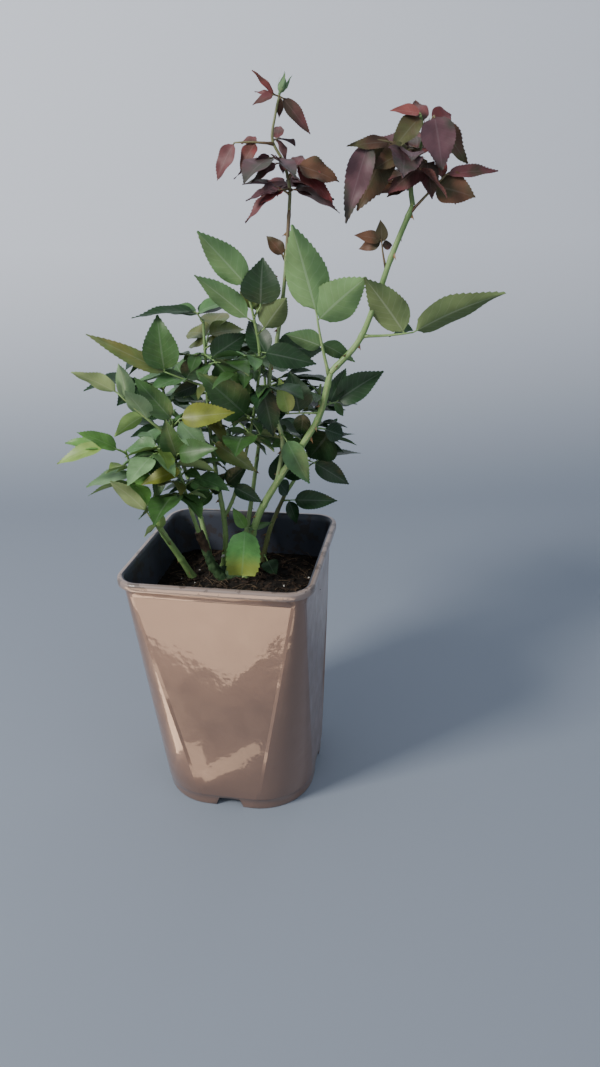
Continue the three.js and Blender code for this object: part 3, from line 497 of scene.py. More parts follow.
def leaf_mesh(patch, base, way, upper, length, width, tint, draw):
    """One toothed leaflet as two thin skins, the upper one and the paler under one."""
    across = upper.cross(way)
    fold = radians(drawn(draw, LEAFLET.fold))
    curl = radians(drawn(draw, LEAFLET.curl))
    wave = length * drawn(draw, LEAFLET.wave) * (LEAFLET.young_wave if tint in YOUNG_TINTS else 1)
    twist = LEAFLET.twist * (draw() - 0.5)
    phase = FULL_TURN * draw()
    rise, fall, teeth, tooth_size = BLUNT_LEAF if tint == "low" else POINTED_LEAF
    last = 2 * teeth
    upper_skin = []
    under_skin = []
    uvs = []
    for k in range(last + 1):
        share = k / last
        half = max(leaf_width(share, rise, fall) * width / 2, 0.35 if k < last else 0.05)
        turn = Quaternion(way, twist * share)
        side = turn @ across
        over = turn @ upper
        middle = base + way * (share * length) - over * (sin(curl * share) * share * length * 0.5)
        for v in ACROSS:
            reach = half
            forward = 0
            if abs(v) == 1 and k % 2 == 1:
                reach = half + tooth_size * min(length, 46) * (0.3 + 0.7 * leaf_width(share))
                forward = 0.7 * length / (last + 1)
            lift = reach * abs(v) ** 1.25 * sin(fold)
            ripple = wave * v * v * sin(phase + share * 13 + (1.3 if v > 0 else 0))
            point = middle + side * (v * reach * cos(fold)) + over * (lift + ripple) + way * forward
            thick = LEAFLET.skin * (1 - v * v) + (LEAFLET.rib * (1 - share) if v == 0 else 0)
            upper_skin.append(point)
            under_skin.append(point - over * thick)
            uvs.append((share, (v + 1) / 2))
    faces = grid(last + 1, len(ACROSS))
    number = 2 * TINT_NAMES.index(tint)
    patch.add(upper_skin, flipped(faces), uvs, number)
    patch.add(under_skin, faces, uvs, number + 1)


def upper_side(direction, face):
    """The upper side of something that runs along a direction: face 0 looks up and 90 looks to the front."""
    wanted = Vector((0, -sin(radians(face)), cos(radians(face))))
    side = wanted - direction * wanted.dot(direction)
    return upper_side(direction, face + 40) if side.length_squared < 0.01 else side.normalized()


def stalk_path(start, direction, upper, reach, bend):
    here = start.copy()
    points = [here.copy()]
    for k in range(STALK.steps):
        turn = radians(-bend * ((k + 0.5) / STALK.steps))
        here = here + (direction * cos(turn) + upper * sin(turn)) * (reach / STALK.steps)
        points.append(here.copy())
    return points


class Crowd:
    """The leaflets placed so far, to keep a new one from running through them."""

    def __init__(self):
        self.placed = []

    def outline(self, base, way, upper, length, width):
        across = upper.cross(way)
        points = []
        for share in (0.2, 0.45, 0.72, 1.0):
            middle = base + way * (share * length) - upper * (sin(0.38 * share) * share * length * 0.5)
            reach = leaf_width(share) * width / 2
            lift = upper * reach * 0.26
            points += [middle - across * reach + lift, middle, middle + across * reach + lift]
        return BVHTree.FromPolygons(points, flipped(grid(4, 3))), base + way * (length / 2), length * 0.6

    def free(self, *leaflet):
        tree, middle, reach = self.outline(*leaflet)
        for other, place, size in self.placed:
            if (place - middle).length < reach + size and tree.overlap(other):
                return False
        return True

    def put(self, *leaflet):
        self.placed.append(self.outline(*leaflet))


def limb_tree(path, radius):
    points = []
    for here, (tangent, normal) in zip(path[::3], frames_along(path[::3])):
        side = tangent.cross(normal)
        for i in range(4):
            points.append(here + (normal * cos(i * pi / 2) + side * sin(i * pi / 2)) * radius)
    faces = [face[::-1] for face in grid(len(points) // 4, 4, True)]
    return BVHTree.FromPolygons(points, faces), (path[0] + path[-1]) / 2, (path[0] - path[-1]).length


# Growth

def key_plan(mass, limb, height, stalk, face, *leaflets):
    """A leaf from the tables."""
    angle, away, reach, bend = stalk
    direction = aim(angle, away)
    start = point_at_height(PATHS[limb], height)
    path = stalk_path(start, direction, upper_side(direction, 0), reach, bend)
    blades = []
    for share, turn, back, length, width, tint in leaflets:
        way = aim(turn, back)
        blades.append((share, way, upper_side(way, face), length, length * width, tint))
    return mass, path, blades, True


def ruled_plan(mass, start, way, rise, size, tilt, reach, tint, draw):
    direction = towards(way, rise)
    upper = Quaternion(direction, radians(tilt)) @ upper_side(direction, 0)
    path = stalk_path(start, direction, upper, reach, STALK.bend)
    blades = []
    for share, turn, part in RULE_PARTS:
        spread = Quaternion(upper, radians(turn + RULE.sway * (draw() - 0.5))) @ direction
        blade_way = (spread - upper * drawn(draw, RULE.droop)).normalized()
        side = (upper - blade_way * upper.dot(blade_way)).normalized()
        blades.append((share, blade_way, side, size * part, size * part * RULE.width, tint))
    return mass, path, blades, False


def fill_plans(number, row):
    """Leaves by rule: even steps up the stem, turned by the golden angle, then finer ones between."""
    mass, low, high, count, reach, heading, more, tints = row
    draw = seeded(SEEDS.rule + number)
    plans = []
    for k in range(count):
        start = point_at_height(PATHS[mass], low + (high - low) * (k + 0.5) / count)
        rise = drawn(draw, RULE.rise)
        size = MID_LEAF * drawn(draw, RULE.size)
        tilt = RULE.tilt * (draw() - 0.5)
        way = heading + k * GOLDEN_ANGLE
        plans.append(ruled_plan(mass, start, way, rise, size, tilt, reach, tints[k % len(tints)], draw))
    draw = seeded(SEEDS.finer + number)
    for k in range(more):
        start = point_at_height(PATHS[mass], low + (high - low) * (k + 0.2 + 0.6 * draw()) / more)
        way = heading + FINER.turn + k * GOLDEN_ANGLE + FINER.sway * draw()
        size = MID_LEAF * drawn(draw, FINER.size)
        rise = drawn(draw, FINER.rise)
        tilt = FINER.tilt * (draw() - 0.5)
        stalk = reach * drawn(draw, FINER.stalk)
        tint = tints[int(draw() * len(tints))]
        plans.append(ruled_plan(mass, start, way, rise, size, tilt, stalk, tint, draw))
    return plans


def grow(masses, crowd, plan, draw):
    """Adds one compound leaf: its stalk with two stipules, and each leaflet that has room."""
    mass, path, blades, wanted = plan
    leaves, twigs = masses.setdefault(mass, (Patch(), Patch()))
    room = [b for b in blades if wanted or crowd.free(share_of(path, b[0]), *b[1:5])]
    if not room:
        return
    reach = max(b[0] for b in room)
    walk = [share_of(path, reach * k / STALK.steps) for k in range(STALK.steps + 1)]
    first_length, first_tint = blades[0][3], blades[0][5]
    red = 1 if first_tint in YOUNG_TINTS else 0
    thick = STALK.thick + STALK.by_leaf * first_length + STALK.by_reach * (path[-1] - path[0]).length

    def radius_at(k, angle):
        return thick * (STALK.foot if k == 0 else STALK.start - STALK.taper * k)
    add_tube(twigs, walk, radius_at, STALK.sides, red)
    for side in (-1, 1):
        add_stipule(leaves, path, side, first_tint, draw)
    for share, way, upper, length, width, tint in room:
        base = share_of(path, share)
        crowd.put(base, way, upper, length, width)
        foot = base + way * (OWN_STALK.share * length)
        add_tube(twigs, [base, foot], lambda k, angle: OWN_STALK.radius, OWN_STALK.sides, red, cap=False)
        start = base + way * (OWN_STALK.blade * length)
        leaf_mesh(leaves, start, way, upper, length * (1 - OWN_STALK.blade), width, tint, draw)


def add_stipule(patch, path, side, tint, draw):
    """A small wing where the stalk leaves its limb."""
    out = (path[1] - path[0]).normalized()
    across = out.cross(UP).normalized() * side
    tip = path[0] + out * (7 + 3 * draw()) + across * 2.6 + UP * 1.2
    points = [path[0] + out * 1.0, path[0] + out * 5.5, tip, path[0] + out * 2.5 + across * 1.8]
    number = 2 * TINT_NAMES.index(tint) + (1 if side > 0 else 0)
    patch.add(points, [(0, 1, 2, 3)], [(0, 0.4), (0.4, 0.4), (1, 0.5), (0.3, 1)], number)


def grow_leaves():
    """Every compound leaf: those in the tables, and then those by rule where they have room."""
    crowd = Crowd()
    for name, (_, thick, thin) in LIMBS.items():
        crowd.placed.append(limb_tree(PATHS[name], (thick + thin) / 2))
    masses = {}
    draw = seeded(SEEDS.growth)
    plans = [key_plan(*row) for row in SINGLE_LEAVES]
    plans += [key_plan(mass, mass, *row) for mass, rows in CROWN_LEAVES.items() for row in rows]
    for number, row in enumerate(FILL):
        plans += fill_plans(number, row)
    for plan in plans:
        grow(masses, crowd, plan, draw)
    return masses


def make_foliage(masses, leaf_skins, twig_skins):
    for name, (leaves, twigs) in masses.items():
        if name in STEMS:
            _, thick, thin = STEMS[name]
            path = PATHS[name]
            kind = 2 if name == "tall_top" else 0
            add_tube(twigs, path, cane_radius(thick, thin, len(path), 0, 3), 10, kind)
        slot = "red_leaf" if name in RED_MASSES else "green_leaf"
        leaves.piece(name + "_leaves", leaf_skins, slot, (name,))
        twigs.piece(name + "_twigs", twig_skins, slot, (name,))


# Canes

# Swellings at a cane's nodes, the flare at its foot, and its thorns, whose gap and size are bounds
NODES = Named(apart=37, middle=18, shift=9, wide=2.2, swell=0.16)
FLARE = Named(swell=0.45, fade=7)
THORNS = Named(first=6, last=4, gap=(7, 9), size=(3.2, 2.4), turn=2.4, sway=3, sunk=0.92)


def add_thorn(patch, place, out, along, size):
    """A hooked, flat-sided thorn, long at its foot."""
    side = out.cross(along).normalized() * size * 0.16
    tip = place + out * size - along * (size * 0.55)
    ring = [place + along * size * 0.55, place + side, place - along * size * 0.4, place - side]
    waist = [p.lerp(tip, 0.45) + out * size * 0.02 + along * size * 0.08 for p in ring]
    waist = [w.lerp(sum(waist, Vector()) / 4, 0.35) for w in waist]
    patch.add(ring + waist + [tip], grid(2, 4, True) + [(4 + i, 4 + (i + 1) % 4, 8) for i in range(4)])


def cane_radius(foot, tip, count, flare, number, rough=0.05, grain=1):
    """Radius along a cane: taper, a flare at the soil, a swelling at each node, and small bumps round it."""
    def at(k, angle):
        run = k * PATH_STEP
        node = exp(-(((run + NODES.shift * number) % NODES.apart - NODES.middle) / NODES.wide) ** 2)
        wobble = noise.noise(Vector((cos(angle), sin(angle), run * 0.09 + number * 7)) * grain)
        taper = lerp(foot, tip, k / max(count - 1, 1))
        spread = flare * FLARE.swell * exp(-run / FLARE.fade)
        return taper * (1 + spread + NODES.swell * node + rough * wobble)
    return at


def grow_canes(materials):
    thorns = Patch()
    for number, (name, (_, foot, tip)) in enumerate(CANES.items()):
        path = PATHS[name]
        stub = name == "old_stub"
        flare = 0 if name in FORKED else 1
        bumps = (0.3, 2.6) if stub else (0.05, 1)
        patch = Patch()
        add_tube(patch, path, cane_radius(foot, tip, len(path), flare, number, *bumps), 14)
        look = materials[CANE_LOOKS.get(name, "cane")]
        patch.piece(name + "_bark", [look], "old_wood" if stub else "green_cane", (name,))
        draw = seeded(SEEDS.thorns + number)
        frames = frames_along(path)
        k = THORNS.first
        while k < len(path) - THORNS.last and not stub:
            tangent, normal = frames[k]
            out = Quaternion(tangent, THORNS.turn * k + THORNS.sway * draw()) @ normal
            radius = lerp(foot, tip, k / len(path)) * THORNS.sunk
            add_thorn(thorns, path[k] + out * radius, out, tangent, drawn(draw, THORNS.size))
            k += int(drawn(draw, THORNS.gap))
    thorns.piece("thorns", [materials["thorn"]], "green_cane", smooth=False)


# Materials

class Paint:
    """A material and the nodes that it is made of."""

    def __init__(self, name, rough, specular):
        self.material = bpy.data.materials.new(name)
        self.material.use_nodes = True
        self.tree = self.material.node_tree
        self.shader = self.tree.nodes["Principled BSDF"]
        self.set("Roughness", rough)
        self.set("Specular IOR Level", specular)

    def join(self, value, socket):
        """Puts a number, a colour or the output of a node on a socket."""
        if isinstance(value, bpy.types.NodeSocket):
            self.tree.links.new(value, socket)
        else:
            socket.default_value = (*value, 1) if isinstance(value, tuple) else value

    def set(self, name, value):
        self.join(value, self.shader.inputs[name])

    def node(self, kind, *values):
        made = self.tree.nodes.new("ShaderNode" + kind)
        for socket, value in zip(made.inputs, values):
            self.join(value, socket)
        return made

    def math(self, operation, *values):
        node = self.node("Math", *values)
        node.operation = operation
        return node.outputs[0]

    def times(self, first, second):
        return self.math("MULTIPLY", first, second)

    def plus(self, first, second):
        return self.math("ADD", first, second)

    def above(self, value, limit):
        return self.math("GREATER_THAN", value, limit)

    def coords(self, source="Object"):
        return self.node("SeparateXYZ", self.node("TexCoord").outputs[source]).outputs

    def noise(self, scale, detail=4, stretch=(1, 1, 1)):
        mapping = self.node("Mapping", self.node("TexCoord").outputs["Object"])
        mapping.inputs["Scale"].default_value = stretch
        grain = self.node("TexNoise", mapping.outputs[0])
        grain.inputs["Scale"].default_value = scale
        grain.inputs["Detail"].default_value = detail
        return grain.outputs["Fac"]

    def ramp(self, value, low, dark, high, light):
        """The colour dark up to the value low, and light from the value high."""
        node = self.node("ValToRGB", value)
        for element, place, colour in zip(node.color_ramp.elements, (low, high), (dark, light)):
            element.position = place
            element.color = (*colour, 1)
        return node.outputs["Color"]

    def mix(self, share, first, second):
        node = self.node("Mix")
        node.data_type = "RGBA"
        for number, value in ((0, share), (6, first), (7, second)):
            self.join(value, node.inputs[number])
        return node.outputs[2]

    def bump(self, height, strength, distance=0.0006, coat=False):
        node = self.node("Bump")
        for name, value in (("Strength", strength), ("Distance", distance), ("Height", height)):
            self.join(value, node.inputs[name])
        self.set("Normal", node.outputs[0])
        if coat:
            self.set("Coat Normal", node.outputs[0])


def shaded(colour, factor):
    return tuple(min(1.0, c * factor) for c in colour)


def leaf_material(tint, colour, under):
    """A leaf skin: mottled, with a pale midrib and side veins that also stand in relief."""
    look = "under" if under else "young" if tint in YOUNG_TINTS else "grown"
    rough, specular, strength, darkest, lightest, relief = LEAF_SKINS[look]
    paint = Paint("leaf_" + tint + ("_under" if under else ""), rough, specular)
    along, across, _ = paint.coords("UV")
    aside = paint.times(paint.math("ABSOLUTE", paint.math("SUBTRACT", across, 0.5)), 2)
    mottle = paint.noise(95)
    straight = paint.math("SUBTRACT", along, paint.times(aside, VEINS.slant))
    slant = paint.plus(straight, paint.times(mottle, VEINS.stray))
    beat = paint.math("FRACT", paint.times(slant, VEINS.count))
    vein = paint.math("LESS_THAN", beat, VEINS.wide)
    rib = paint.math("LESS_THAN", aside, VEINS.rib)
    lines = paint.math("MAXIMUM", paint.times(vein, VEINS.faint), rib)
    body = paint.ramp(mottle, 0.3, shaded(colour, darkest), 0.7, shaded(colour, lightest))
    if tint in PATCHES and not under:
        share = paint.ramp(paint.noise(38, 3), 0.44, BLACK, 0.6, shaded(WHITE, 0.85))
        body = paint.mix(share, body, PATCHES[tint])
    if tint in TIPS and not under:
        share = paint.plus(along, paint.times(mottle, 0.3))
        body = paint.mix(paint.ramp(share, 0.62, BLACK, 0.95, shaded(WHITE, 0.8)), body, TIPS[tint])
    pale = tuple(lerp(c, 0.32 + 0.2 * c, 0.35) for c in shaded(colour, 1.35))
    paint.set("Base Color", paint.mix(paint.times(lines, strength), body, pale))
    paint.bump(paint.plus(paint.times(beat, 0.5), paint.times(mottle, 0.25)), relief)
    return paint.material


def start_cane(name):
    """The smooth skin of a green cane, and the streaks along it."""
    paint = Paint(name, 0.45, 0.4)
    paint.bump(paint.noise(420, 4, (1, 1, 0.3)), 0.35)
    return paint, paint.noise(70, 5, (1, 1, 0.22))


def cane_material(name, low, high):
    paint, streak = start_cane(name)
    body = paint.ramp(streak, 0.3, low, 0.68, high)
    specks = paint.times(paint.above(paint.noise(900, 1), 0.66), 0.35)
    paint.set("Base Color", paint.mix(specks, body, shaded(low, 0.5)))
    return paint.material


def tall_cane_material(name):
    """Green low down and reddish brown near the young leaves."""
    paint, streak = start_cane(name)
    green = paint.ramp(streak, 0.3, (0.13, 0.19, 0.075), 0.68, (0.24, 0.33, 0.15))
    brown = paint.ramp(streak, 0.3, (0.095, 0.055, 0.035), 0.68, (0.17, 0.12, 0.07))
    height = paint.plus(paint.coords()[2], paint.times(streak, 0.04))
    low, high = TALL_BROWN
    paint.set("Base Color", paint.mix(paint.ramp(height, low, BLACK, high, WHITE), green, brown))
    return paint.material


def stub_material(name):
    """Dark green bark low on the old stub, and dry brown bark near its cut top."""
    paint = Paint(name, 0.7, 0.3)
    rough = paint.noise(150, 6)
    green = paint.ramp(rough, 0.3, (0.018, 0.045, 0.020), 0.7, (0.060, 0.115, 0.045))
    brown = paint.ramp(rough, 0.35, (0.008, 0.006, 0.004), 0.7, (0.075, 0.047, 0.028))
    height = paint.plus(paint.coords()[2], paint.times(rough, 0.02))
    paint.set("Base Color", paint.mix(paint.above(height, STUB_DRY), green, brown))
    paint.bump(paint.noise(380, 6), 0.8, 0.0012)
    return paint.material


def grain_material(name, dark, light, scale, rough=0.9, strength=0.6):
    paint = Paint(name, rough, 0.25)
    paint.set("Base Color", paint.ramp(paint.noise(scale, 6), 0.32, dark, 0.7, light))
    paint.bump(paint.noise(scale * 3, 5), strength, 0.001)
    return paint.material


def pot_material(name, colour, rough, outside):
    """Moulded plastic with a slow ripple and dirt near the rim. Outside it is glossy, with a grey rim."""
    paint = Paint(name, rough, 0.35)
    paint.set("Coat Weight", 0.7 if outside else 0.1)
    paint.set("Coat Roughness", 0.05)
    body = paint.ramp(paint.noise(9, 5), 0.3, shaded(colour, 0.93), 0.7, shaded(colour, 1.05))
    height = paint.coords()[2]
    if outside:
        rim = paint.above(height, (POT.height - RIM.grey) * MM)
        body = paint.mix(paint.times(rim, 0.55), body, (0.27, 0.225, 0.205))
    dirt_from = POT.height - RIM.dirt if outside else POT.soil - RIM.under_soil
    high = paint.above(height, dirt_from * MM)
    dirt = paint.above(paint.noise(95, 8), 0.565)
    share = paint.times(paint.times(high, dirt), 0.55)
    paint.set("Base Color", paint.mix(share, body, (0.035, 0.026, 0.02)))
    gloss = paint.ramp(paint.noise(40, 6), 0.35, shaded(WHITE, rough * 0.85), 0.7, shaded(WHITE, rough * 1.3))
    paint.set("Roughness", gloss)
    ripple = paint.plus(paint.noise(34, 3), paint.times(paint.noise(650, 2), 0.02))
    paint.bump(ripple, 0.8 if outside else 0.1, 0.0012, coat=outside)
    return paint.material


# Pot

def panel_half(z):
    """Half width of a wall's shallow panel, which narrows towards the foot."""
    return lerp(PANEL.foot_half, PANEL.top_half, (z - PANEL.low) / (PANEL.high - PANEL.low))


def notch_height(u):
    """How high the foot is cut away at a place along a side."""
    return NOTCH.high if u is not None and abs(u) <= NOTCH.top + 0.01 else 0


def ring_points(half, corner, z, panel=0.0, edge=None):
    """A level ring: a square with round corners, whose sides may hold a panel that lies a little deeper.

    Each upright edge of the panel has its points twice, which keeps it crisp."""
    flat = half - corner
    ends = flat if edge is None else edge + PANEL.band
    edge = flat if edge is None else edge
    last = acos((ends - flat) / corner)

    def curve(u):
        return corner - sqrt(corner * corner - max(abs(u) - flat, 0) ** 2)
    local = []
    for i in range(CORNER_STEPS + 1):
        angle = lerp(pi / 2 - last, last, i / CORNER_STEPS)
        local.append((Vector((flat + corner * cos(angle), flat + corner * sin(angle), 0)), None))
    local.append(local[-1])
    half_side = (edge, edge, flat, NOTCH.foot, NOTCH.top)
    for u in half_side + (0,) + tuple(-u for u in reversed(half_side)):
        local.append((Vector((u, half - max(panel, curve(u)), 0)), u))
    local.append((Vector((-ends, half - curve(ends), 0)), None))
    ring = []
    for quarter in range(4):
        spin = Matrix.Rotation(quarter * pi / 2 + radians(POT.turn), 3, "Z")
        for point, u in local:
            place = spin @ point
            place.z = max(z, notch_height(u))
            ring.append(place)
    return ring


def wall_sizes(z):
    share = z / (POT.height - LIP.drop)
    return lerp(WALL.foot, WALL.top, share), lerp(WALL.foot_corner, WALL.top_corner, share)


def wall_ring(z, inset, panel=None):
    """A ring on the wall. A panel's depth, which may be 0, also gives the ring the points of its edges."""
    half, corner = wall_sizes(z)
    edge = None if panel is None else panel_half(z)
    return ring_points(half - inset, corner - inset, z, panel or 0.0, edge)


def lip_ring(z, inset):
    return ring_points(POT.width / 2 - inset, LIP.corner - inset, z)


def add_rings(patch, rings, kind=0):
    """Joins rings with faces, apart from those between points that coincide in both rings."""
    points = [p for ring in rings for p in ring]
    faces = []
    for a, b, c, d in grid(len(rings), len(rings[0]), True):
        if max((points[a] - points[b]).length, (points[c] - points[d]).length) > 0.001:
            faces.append((a, b, c, d))
    patch.add(points, faces, None, kind)


def make_pot(outside, inside):
    top = POT.height
    under = top - LIP.drop
    ring = FOOT.ring
    patch = Patch()
    outer = [wall_ring(z, inset) for z, inset in FOOT_CURVE]
    outer += [wall_ring(z, 0, PANEL.deep * deep) for z, deep in PANEL_LEVELS]
    add_rings(patch, outer)
    neck = wall_ring(under - 1, 0)
    add_rings(patch, [outer[-1], wall_ring(PANEL.high + 3, 0, 0), neck])
    add_rings(patch, [neck] + [lip_ring(top + rise, shift) for rise, shift in LIP_CURVE])
    half, corner = wall_sizes(under)
    inner = [lip_ring(top, 4.6), lip_ring(top - 0.4, 5.8), ring_points(half - 1.4, corner - 1.4, top - 1.6)]
    inner += [ring_points(half - 2, corner - 2, under)]
    inner += [wall_ring(z, WALL.thick) for z in (200, 120, 30, 12)]
    add_rings(patch, inner, 1)
    foot = ((FOOT.recess, ring), (1, ring - 1), (0, ring - 2), (0, 1.6))
    add_rings(patch, [wall_ring(z, shift) for z, shift in foot])
    patch.piece("pot_shell", [outside, inside], "pot_plastic", ("pot",))
    make_floor(outside)


def make_floor(material):
    """The recessed underside with its flat pad and four drain holes."""
    plate = Patch()
    edge = wall_ring(FOOT.recess, FOOT.ring - 1)
    count = len(edge)
    caps = [tuple(reversed(range(count))), tuple(range(count, 2 * count))]
    plate.add(edge + [p + UP * FOOT.plate for p in edge], caps + grid(2, count, True))
    floor = plate.piece("pot_floor", [material], "pot_plastic", ("pot",), smooth=False)
    out = HOLE.out * MM
    for side in range(4):
        angle = radians(POT.turn + 45 + 90 * side)
        place = (out * cos(angle), out * sin(angle), FOOT.recess * MM)
        bpy.ops.mesh.primitive_cylinder_add(vertices=HOLE.sides, radius=HOLE.radius * MM,
                                            depth=HOLE.depth * MM, location=place)
        cutter = bpy.context.object
        cut = floor.modifiers.new("hole", "BOOLEAN")
        cut.object = cutter
        cut.operation = "DIFFERENCE"
        bpy.context.view_layer.objects.active = floor
        bpy.ops.object.modifier_apply(modifier="hole")
        bpy.data.objects.remove(cutter)
    pad = Patch()
    turns = [k * pi / 24 for k in range(48)]
    rings = [[Vector((radius * cos(a), radius * sin(a), z)) for a in turns] for z, radius in PAD_LEVELS]
    add_rings(pad, rings)
    pad.add(rings[0], [tuple(reversed(range(48)))])
    pad.piece("pot_pad", [material], "pot_plastic", ("pot",), smooth=False)


# Compost

# A chip's length, width, thickness and the unevenness of its corners; a straw's reach and bow; and the mound
CHIP = Named(least=1.6, more=8, wide=(0.35, 0.4), thick=(0.5, 1.3), rough=(0.7, 0.5), tilt=0.9)
STRAW = Named(shift=12, least=6, more=20, bow=2.5, radius=0.28)
MOUND = Named(x=-5, y=22, high=1.5, spread=900)


def soil_radius(angle):
    """How far the pot's inner wall is from its middle in a direction, at the soil's height."""
    half, corner = wall_sizes(POT.soil)
    half -= WALL.thick + 0.2
    corner -= WALL.thick
    local = angle - radians(POT.turn)
    small, large = sorted((abs(cos(local)), abs(sin(local))))
    middle = half - corner
    if half * small / large <= middle:
        return half / large
    along = middle * (large + small)
    return along + sqrt(max(along * along - 2 * middle * middle + corner * corner, 0))


def soil_height(x, y):
    reach = hypot(x, y) / soil_radius(atan2(y, x))

    def swell(scale, layer):
        return noise.noise(Vector((x * scale, y * scale, layer)))
    lumps = 2.6 * swell(0.055, 3) + 1.6 * swell(0.16, 9)
    fine = 0.9 * swell(0.5, 5)
    mound = MOUND.high * exp(-((x - MOUND.x) ** 2 + (y - MOUND.y) ** 2) / MOUND.spread)
    return POT.soil + SOIL.lift + mound - SOIL.sag * reach ** 4 + lumps + fine


def on_soil(x, y, lift=0):
    return Vector((x, y, soil_height(x, y) + lift))


def soil_spot(draw, share):
    """A random place on the compost, up to a share of the way to the pot's wall."""
    angle = 2 * pi * draw()
    reach = soil_radius(angle) * share * sqrt(draw())
    return reach * cos(angle), reach * sin(angle)


def make_soil(material, chips, straw, white):
    turns, rings = SOIL.turns, SOIL.rings
    points = [on_soil(0, 0)]
    for k in range(1, rings + 1):
        for i in range(turns):
            angle = 2 * pi * i / turns
            reach = soil_radius(angle) * k / rings
            points.append(on_soil(reach * cos(angle), reach * sin(angle)))
    faces = [(0, 1 + i, 1 + (i + 1) % turns) for i in range(turns)]
    faces += [tuple(i + 1 for i in face) for face in flipped(grid(rings, turns, True))]
    patch = Patch()
    patch.add(points, faces)
    patch.piece("soil_surface", [material], "potting_soil", ("soil",))
    draw = seeded(SEEDS.compost)
    make_chips(chips, draw)
    make_straws(straw, draw)
    make_grains(white, draw)


def make_chips(materials, draw):
    """Flat pieces of bark. A few of those in the front left are tan."""
    bits = Patch()
    for _ in range(SOIL.chips):
        x, y = soil_spot(draw, 0.96)
        long = CHIP.least + CHIP.more * draw() ** 3
        wide = long * drawn(draw, CHIP.wide)
        thick = drawn(draw, CHIP.thick)
        spin = Matrix.Rotation(FULL_TURN * draw(), 3, "Z")
        spin = spin @ Matrix.Rotation(CHIP.tilt * (draw() - 0.5), 3, "X")
        corners = []
        for dz in (-0.5, 0.5):
            for dx, dy in ((-0.5, -0.5), (0.5, -0.5), (0.5, 0.5), (-0.5, 0.5)):
                rough = (long * dx * drawn(draw, CHIP.rough), wide * dy * drawn(draw, CHIP.rough), thick * dz)
                corners.append(on_soil(x, y, 0.5) + spin @ Vector(rough))
        kind = 2 if x < -20 and y < 0 and draw() < 0.2 else int(2.03 * draw())
        bits.add(corners, [(3, 2, 1, 0), (4, 5, 6, 7)] + grid(2, 4, True), None, kind)
    bits.piece("bark_chips", materials, "potting_soil", smooth=False)


def make_straws(material, draw):
    straws = Patch()
    for _ in range(SOIL.straws):
        x, y = soil_spot(draw, 0.88)
        x += STRAW.shift * draw()
        way = Vector((cos(FULL_TURN * draw()), sin(FULL_TURN * draw()), 0.25 * draw())).normalized()
        reach = STRAW.least + STRAW.more * draw() ** 2
        bow = Vector((0, 0, STRAW.bow * draw()))
        start = on_soil(x, y, 0.4)
        path = [start + way * (reach * t) + bow * sin(pi * t) for t in (0, 0.25, 0.5, 0.75, 1)]
        if all(hypot(p.x, p.y) < soil_radius(atan2(p.y, p.x)) - 1 for p in path):
            path = [Vector((p.x, p.y, max(p.z, soil_height(p.x, p.y) + 0.3))) for p in path]
            add_tube(straws, path, lambda k, angle: STRAW.radius, 5)
    straws.piece("straws", [material], "potting_soil")


def make_grains(material, draw):
    """Small white many-sided grains, most of them on the compost."""
    grains = Patch()

    def add_grain(place, size):
        grains.add(*ball(1, size, lambda co: place + co * (0.75 + 0.5 * draw())))
    for _ in range(SOIL.grains):
        x, y = soil_spot(draw, 0.9)
        size = 0.7 + 0.8 * draw()
        add_grain(on_soil(x, y, size * 0.4), size)
    large = 1.6
    add_grain(on_soil(-31, -30, large * 0.4), large)
    add_grain(Vector(CANE_GRAIN), 2.0)
    grains.piece("perlite", [material], "potting_soil", smooth=False)


def make_union(material):
    """The bud union, a low woody lump that the canes rise round."""
    def moved(co):
        rough = 1 + 0.16 * noise.noise(co * 2.2) + 0.06 * noise.noise(co * 7)
        axes = zip(co, UNION.reach, UNION.place)
        return Vector(c * reach * rough + middle for c, reach, middle in axes)
    patch = Patch()
    patch.add(*ball(4, 1, moved))
    patch.piece("knotty_foot", [material], "old_wood", ("bud_union",))


# The flower bud on the tall cane: height and radius up it, and height, reach and half width up a sepal

BUD = [(-2, 1.1), (0, 1.4), (1.5, 3.0), (4, 3.9), (6.5, 3.8), (9, 2.6), (11.5, 0.4)]
SEPAL = [(2.5, 3.3, 0.0), (5.5, 4.4, 1.8), (9, 4.5, 1.6), (12.5, 4.6, 0.7)]
BUD_AXIS = (0.48, -0.1, 1)
SEPALS = Named(count=5, turn=1.257)


def make_bud(green):
    bud = Patch()
    foot = PATHS["tall_top"][-1]
    axis = Vector(BUD_AXIS).normalized()
    add_tube(bud, [foot + axis * z for z, _ in BUD], lambda k, angle: BUD[k][1], 12)
    for i in range(SEPALS.count):
        out = Quaternion(axis, i * SEPALS.turn) @ axis.orthogonal().normalized()
        side = axis.cross(out)
        points = []
        for z, reach, half in SEPAL + [(15.5 + i % 3, 5.6 + 1.5 * (i % 2), 0.08)]:
            middle = foot + axis * z + out * reach
            points += [middle - side * half, middle + side * half]
        bud.add(points, grid(len(SEPAL) + 1, 2))
    bud.piece("flower_bud", [green], "green_leaf", ("tall_top",))


# Stage, light and camera, in metres

STAGE = Named(bend=0.5, near=-3.0, far=1.3, high=3.2, half=4.0)

# Lights: name, place, the point they face, size, power and colour
LIGHTS = [
    ("key", (-1.75, -1.05, 1.75), (0, 0, 0.35), (0.6, 0.6), 84, (1.0, 0.96, 0.89)),
    ("fill", (1.5, -1.3, 0.9), (0, 0, 0.35), (1.6, 1.6), 7, (0.92, 0.96, 1.0)),
    ("back", (0.4, 1.5, 1.7), (0, 0, 0.4), (1.2, 1.2), 16, (1.0, 1.0, 1.0)),
]
SKY = Named(colour=(0.80, 0.86, 0.95, 1), strength=0.70)

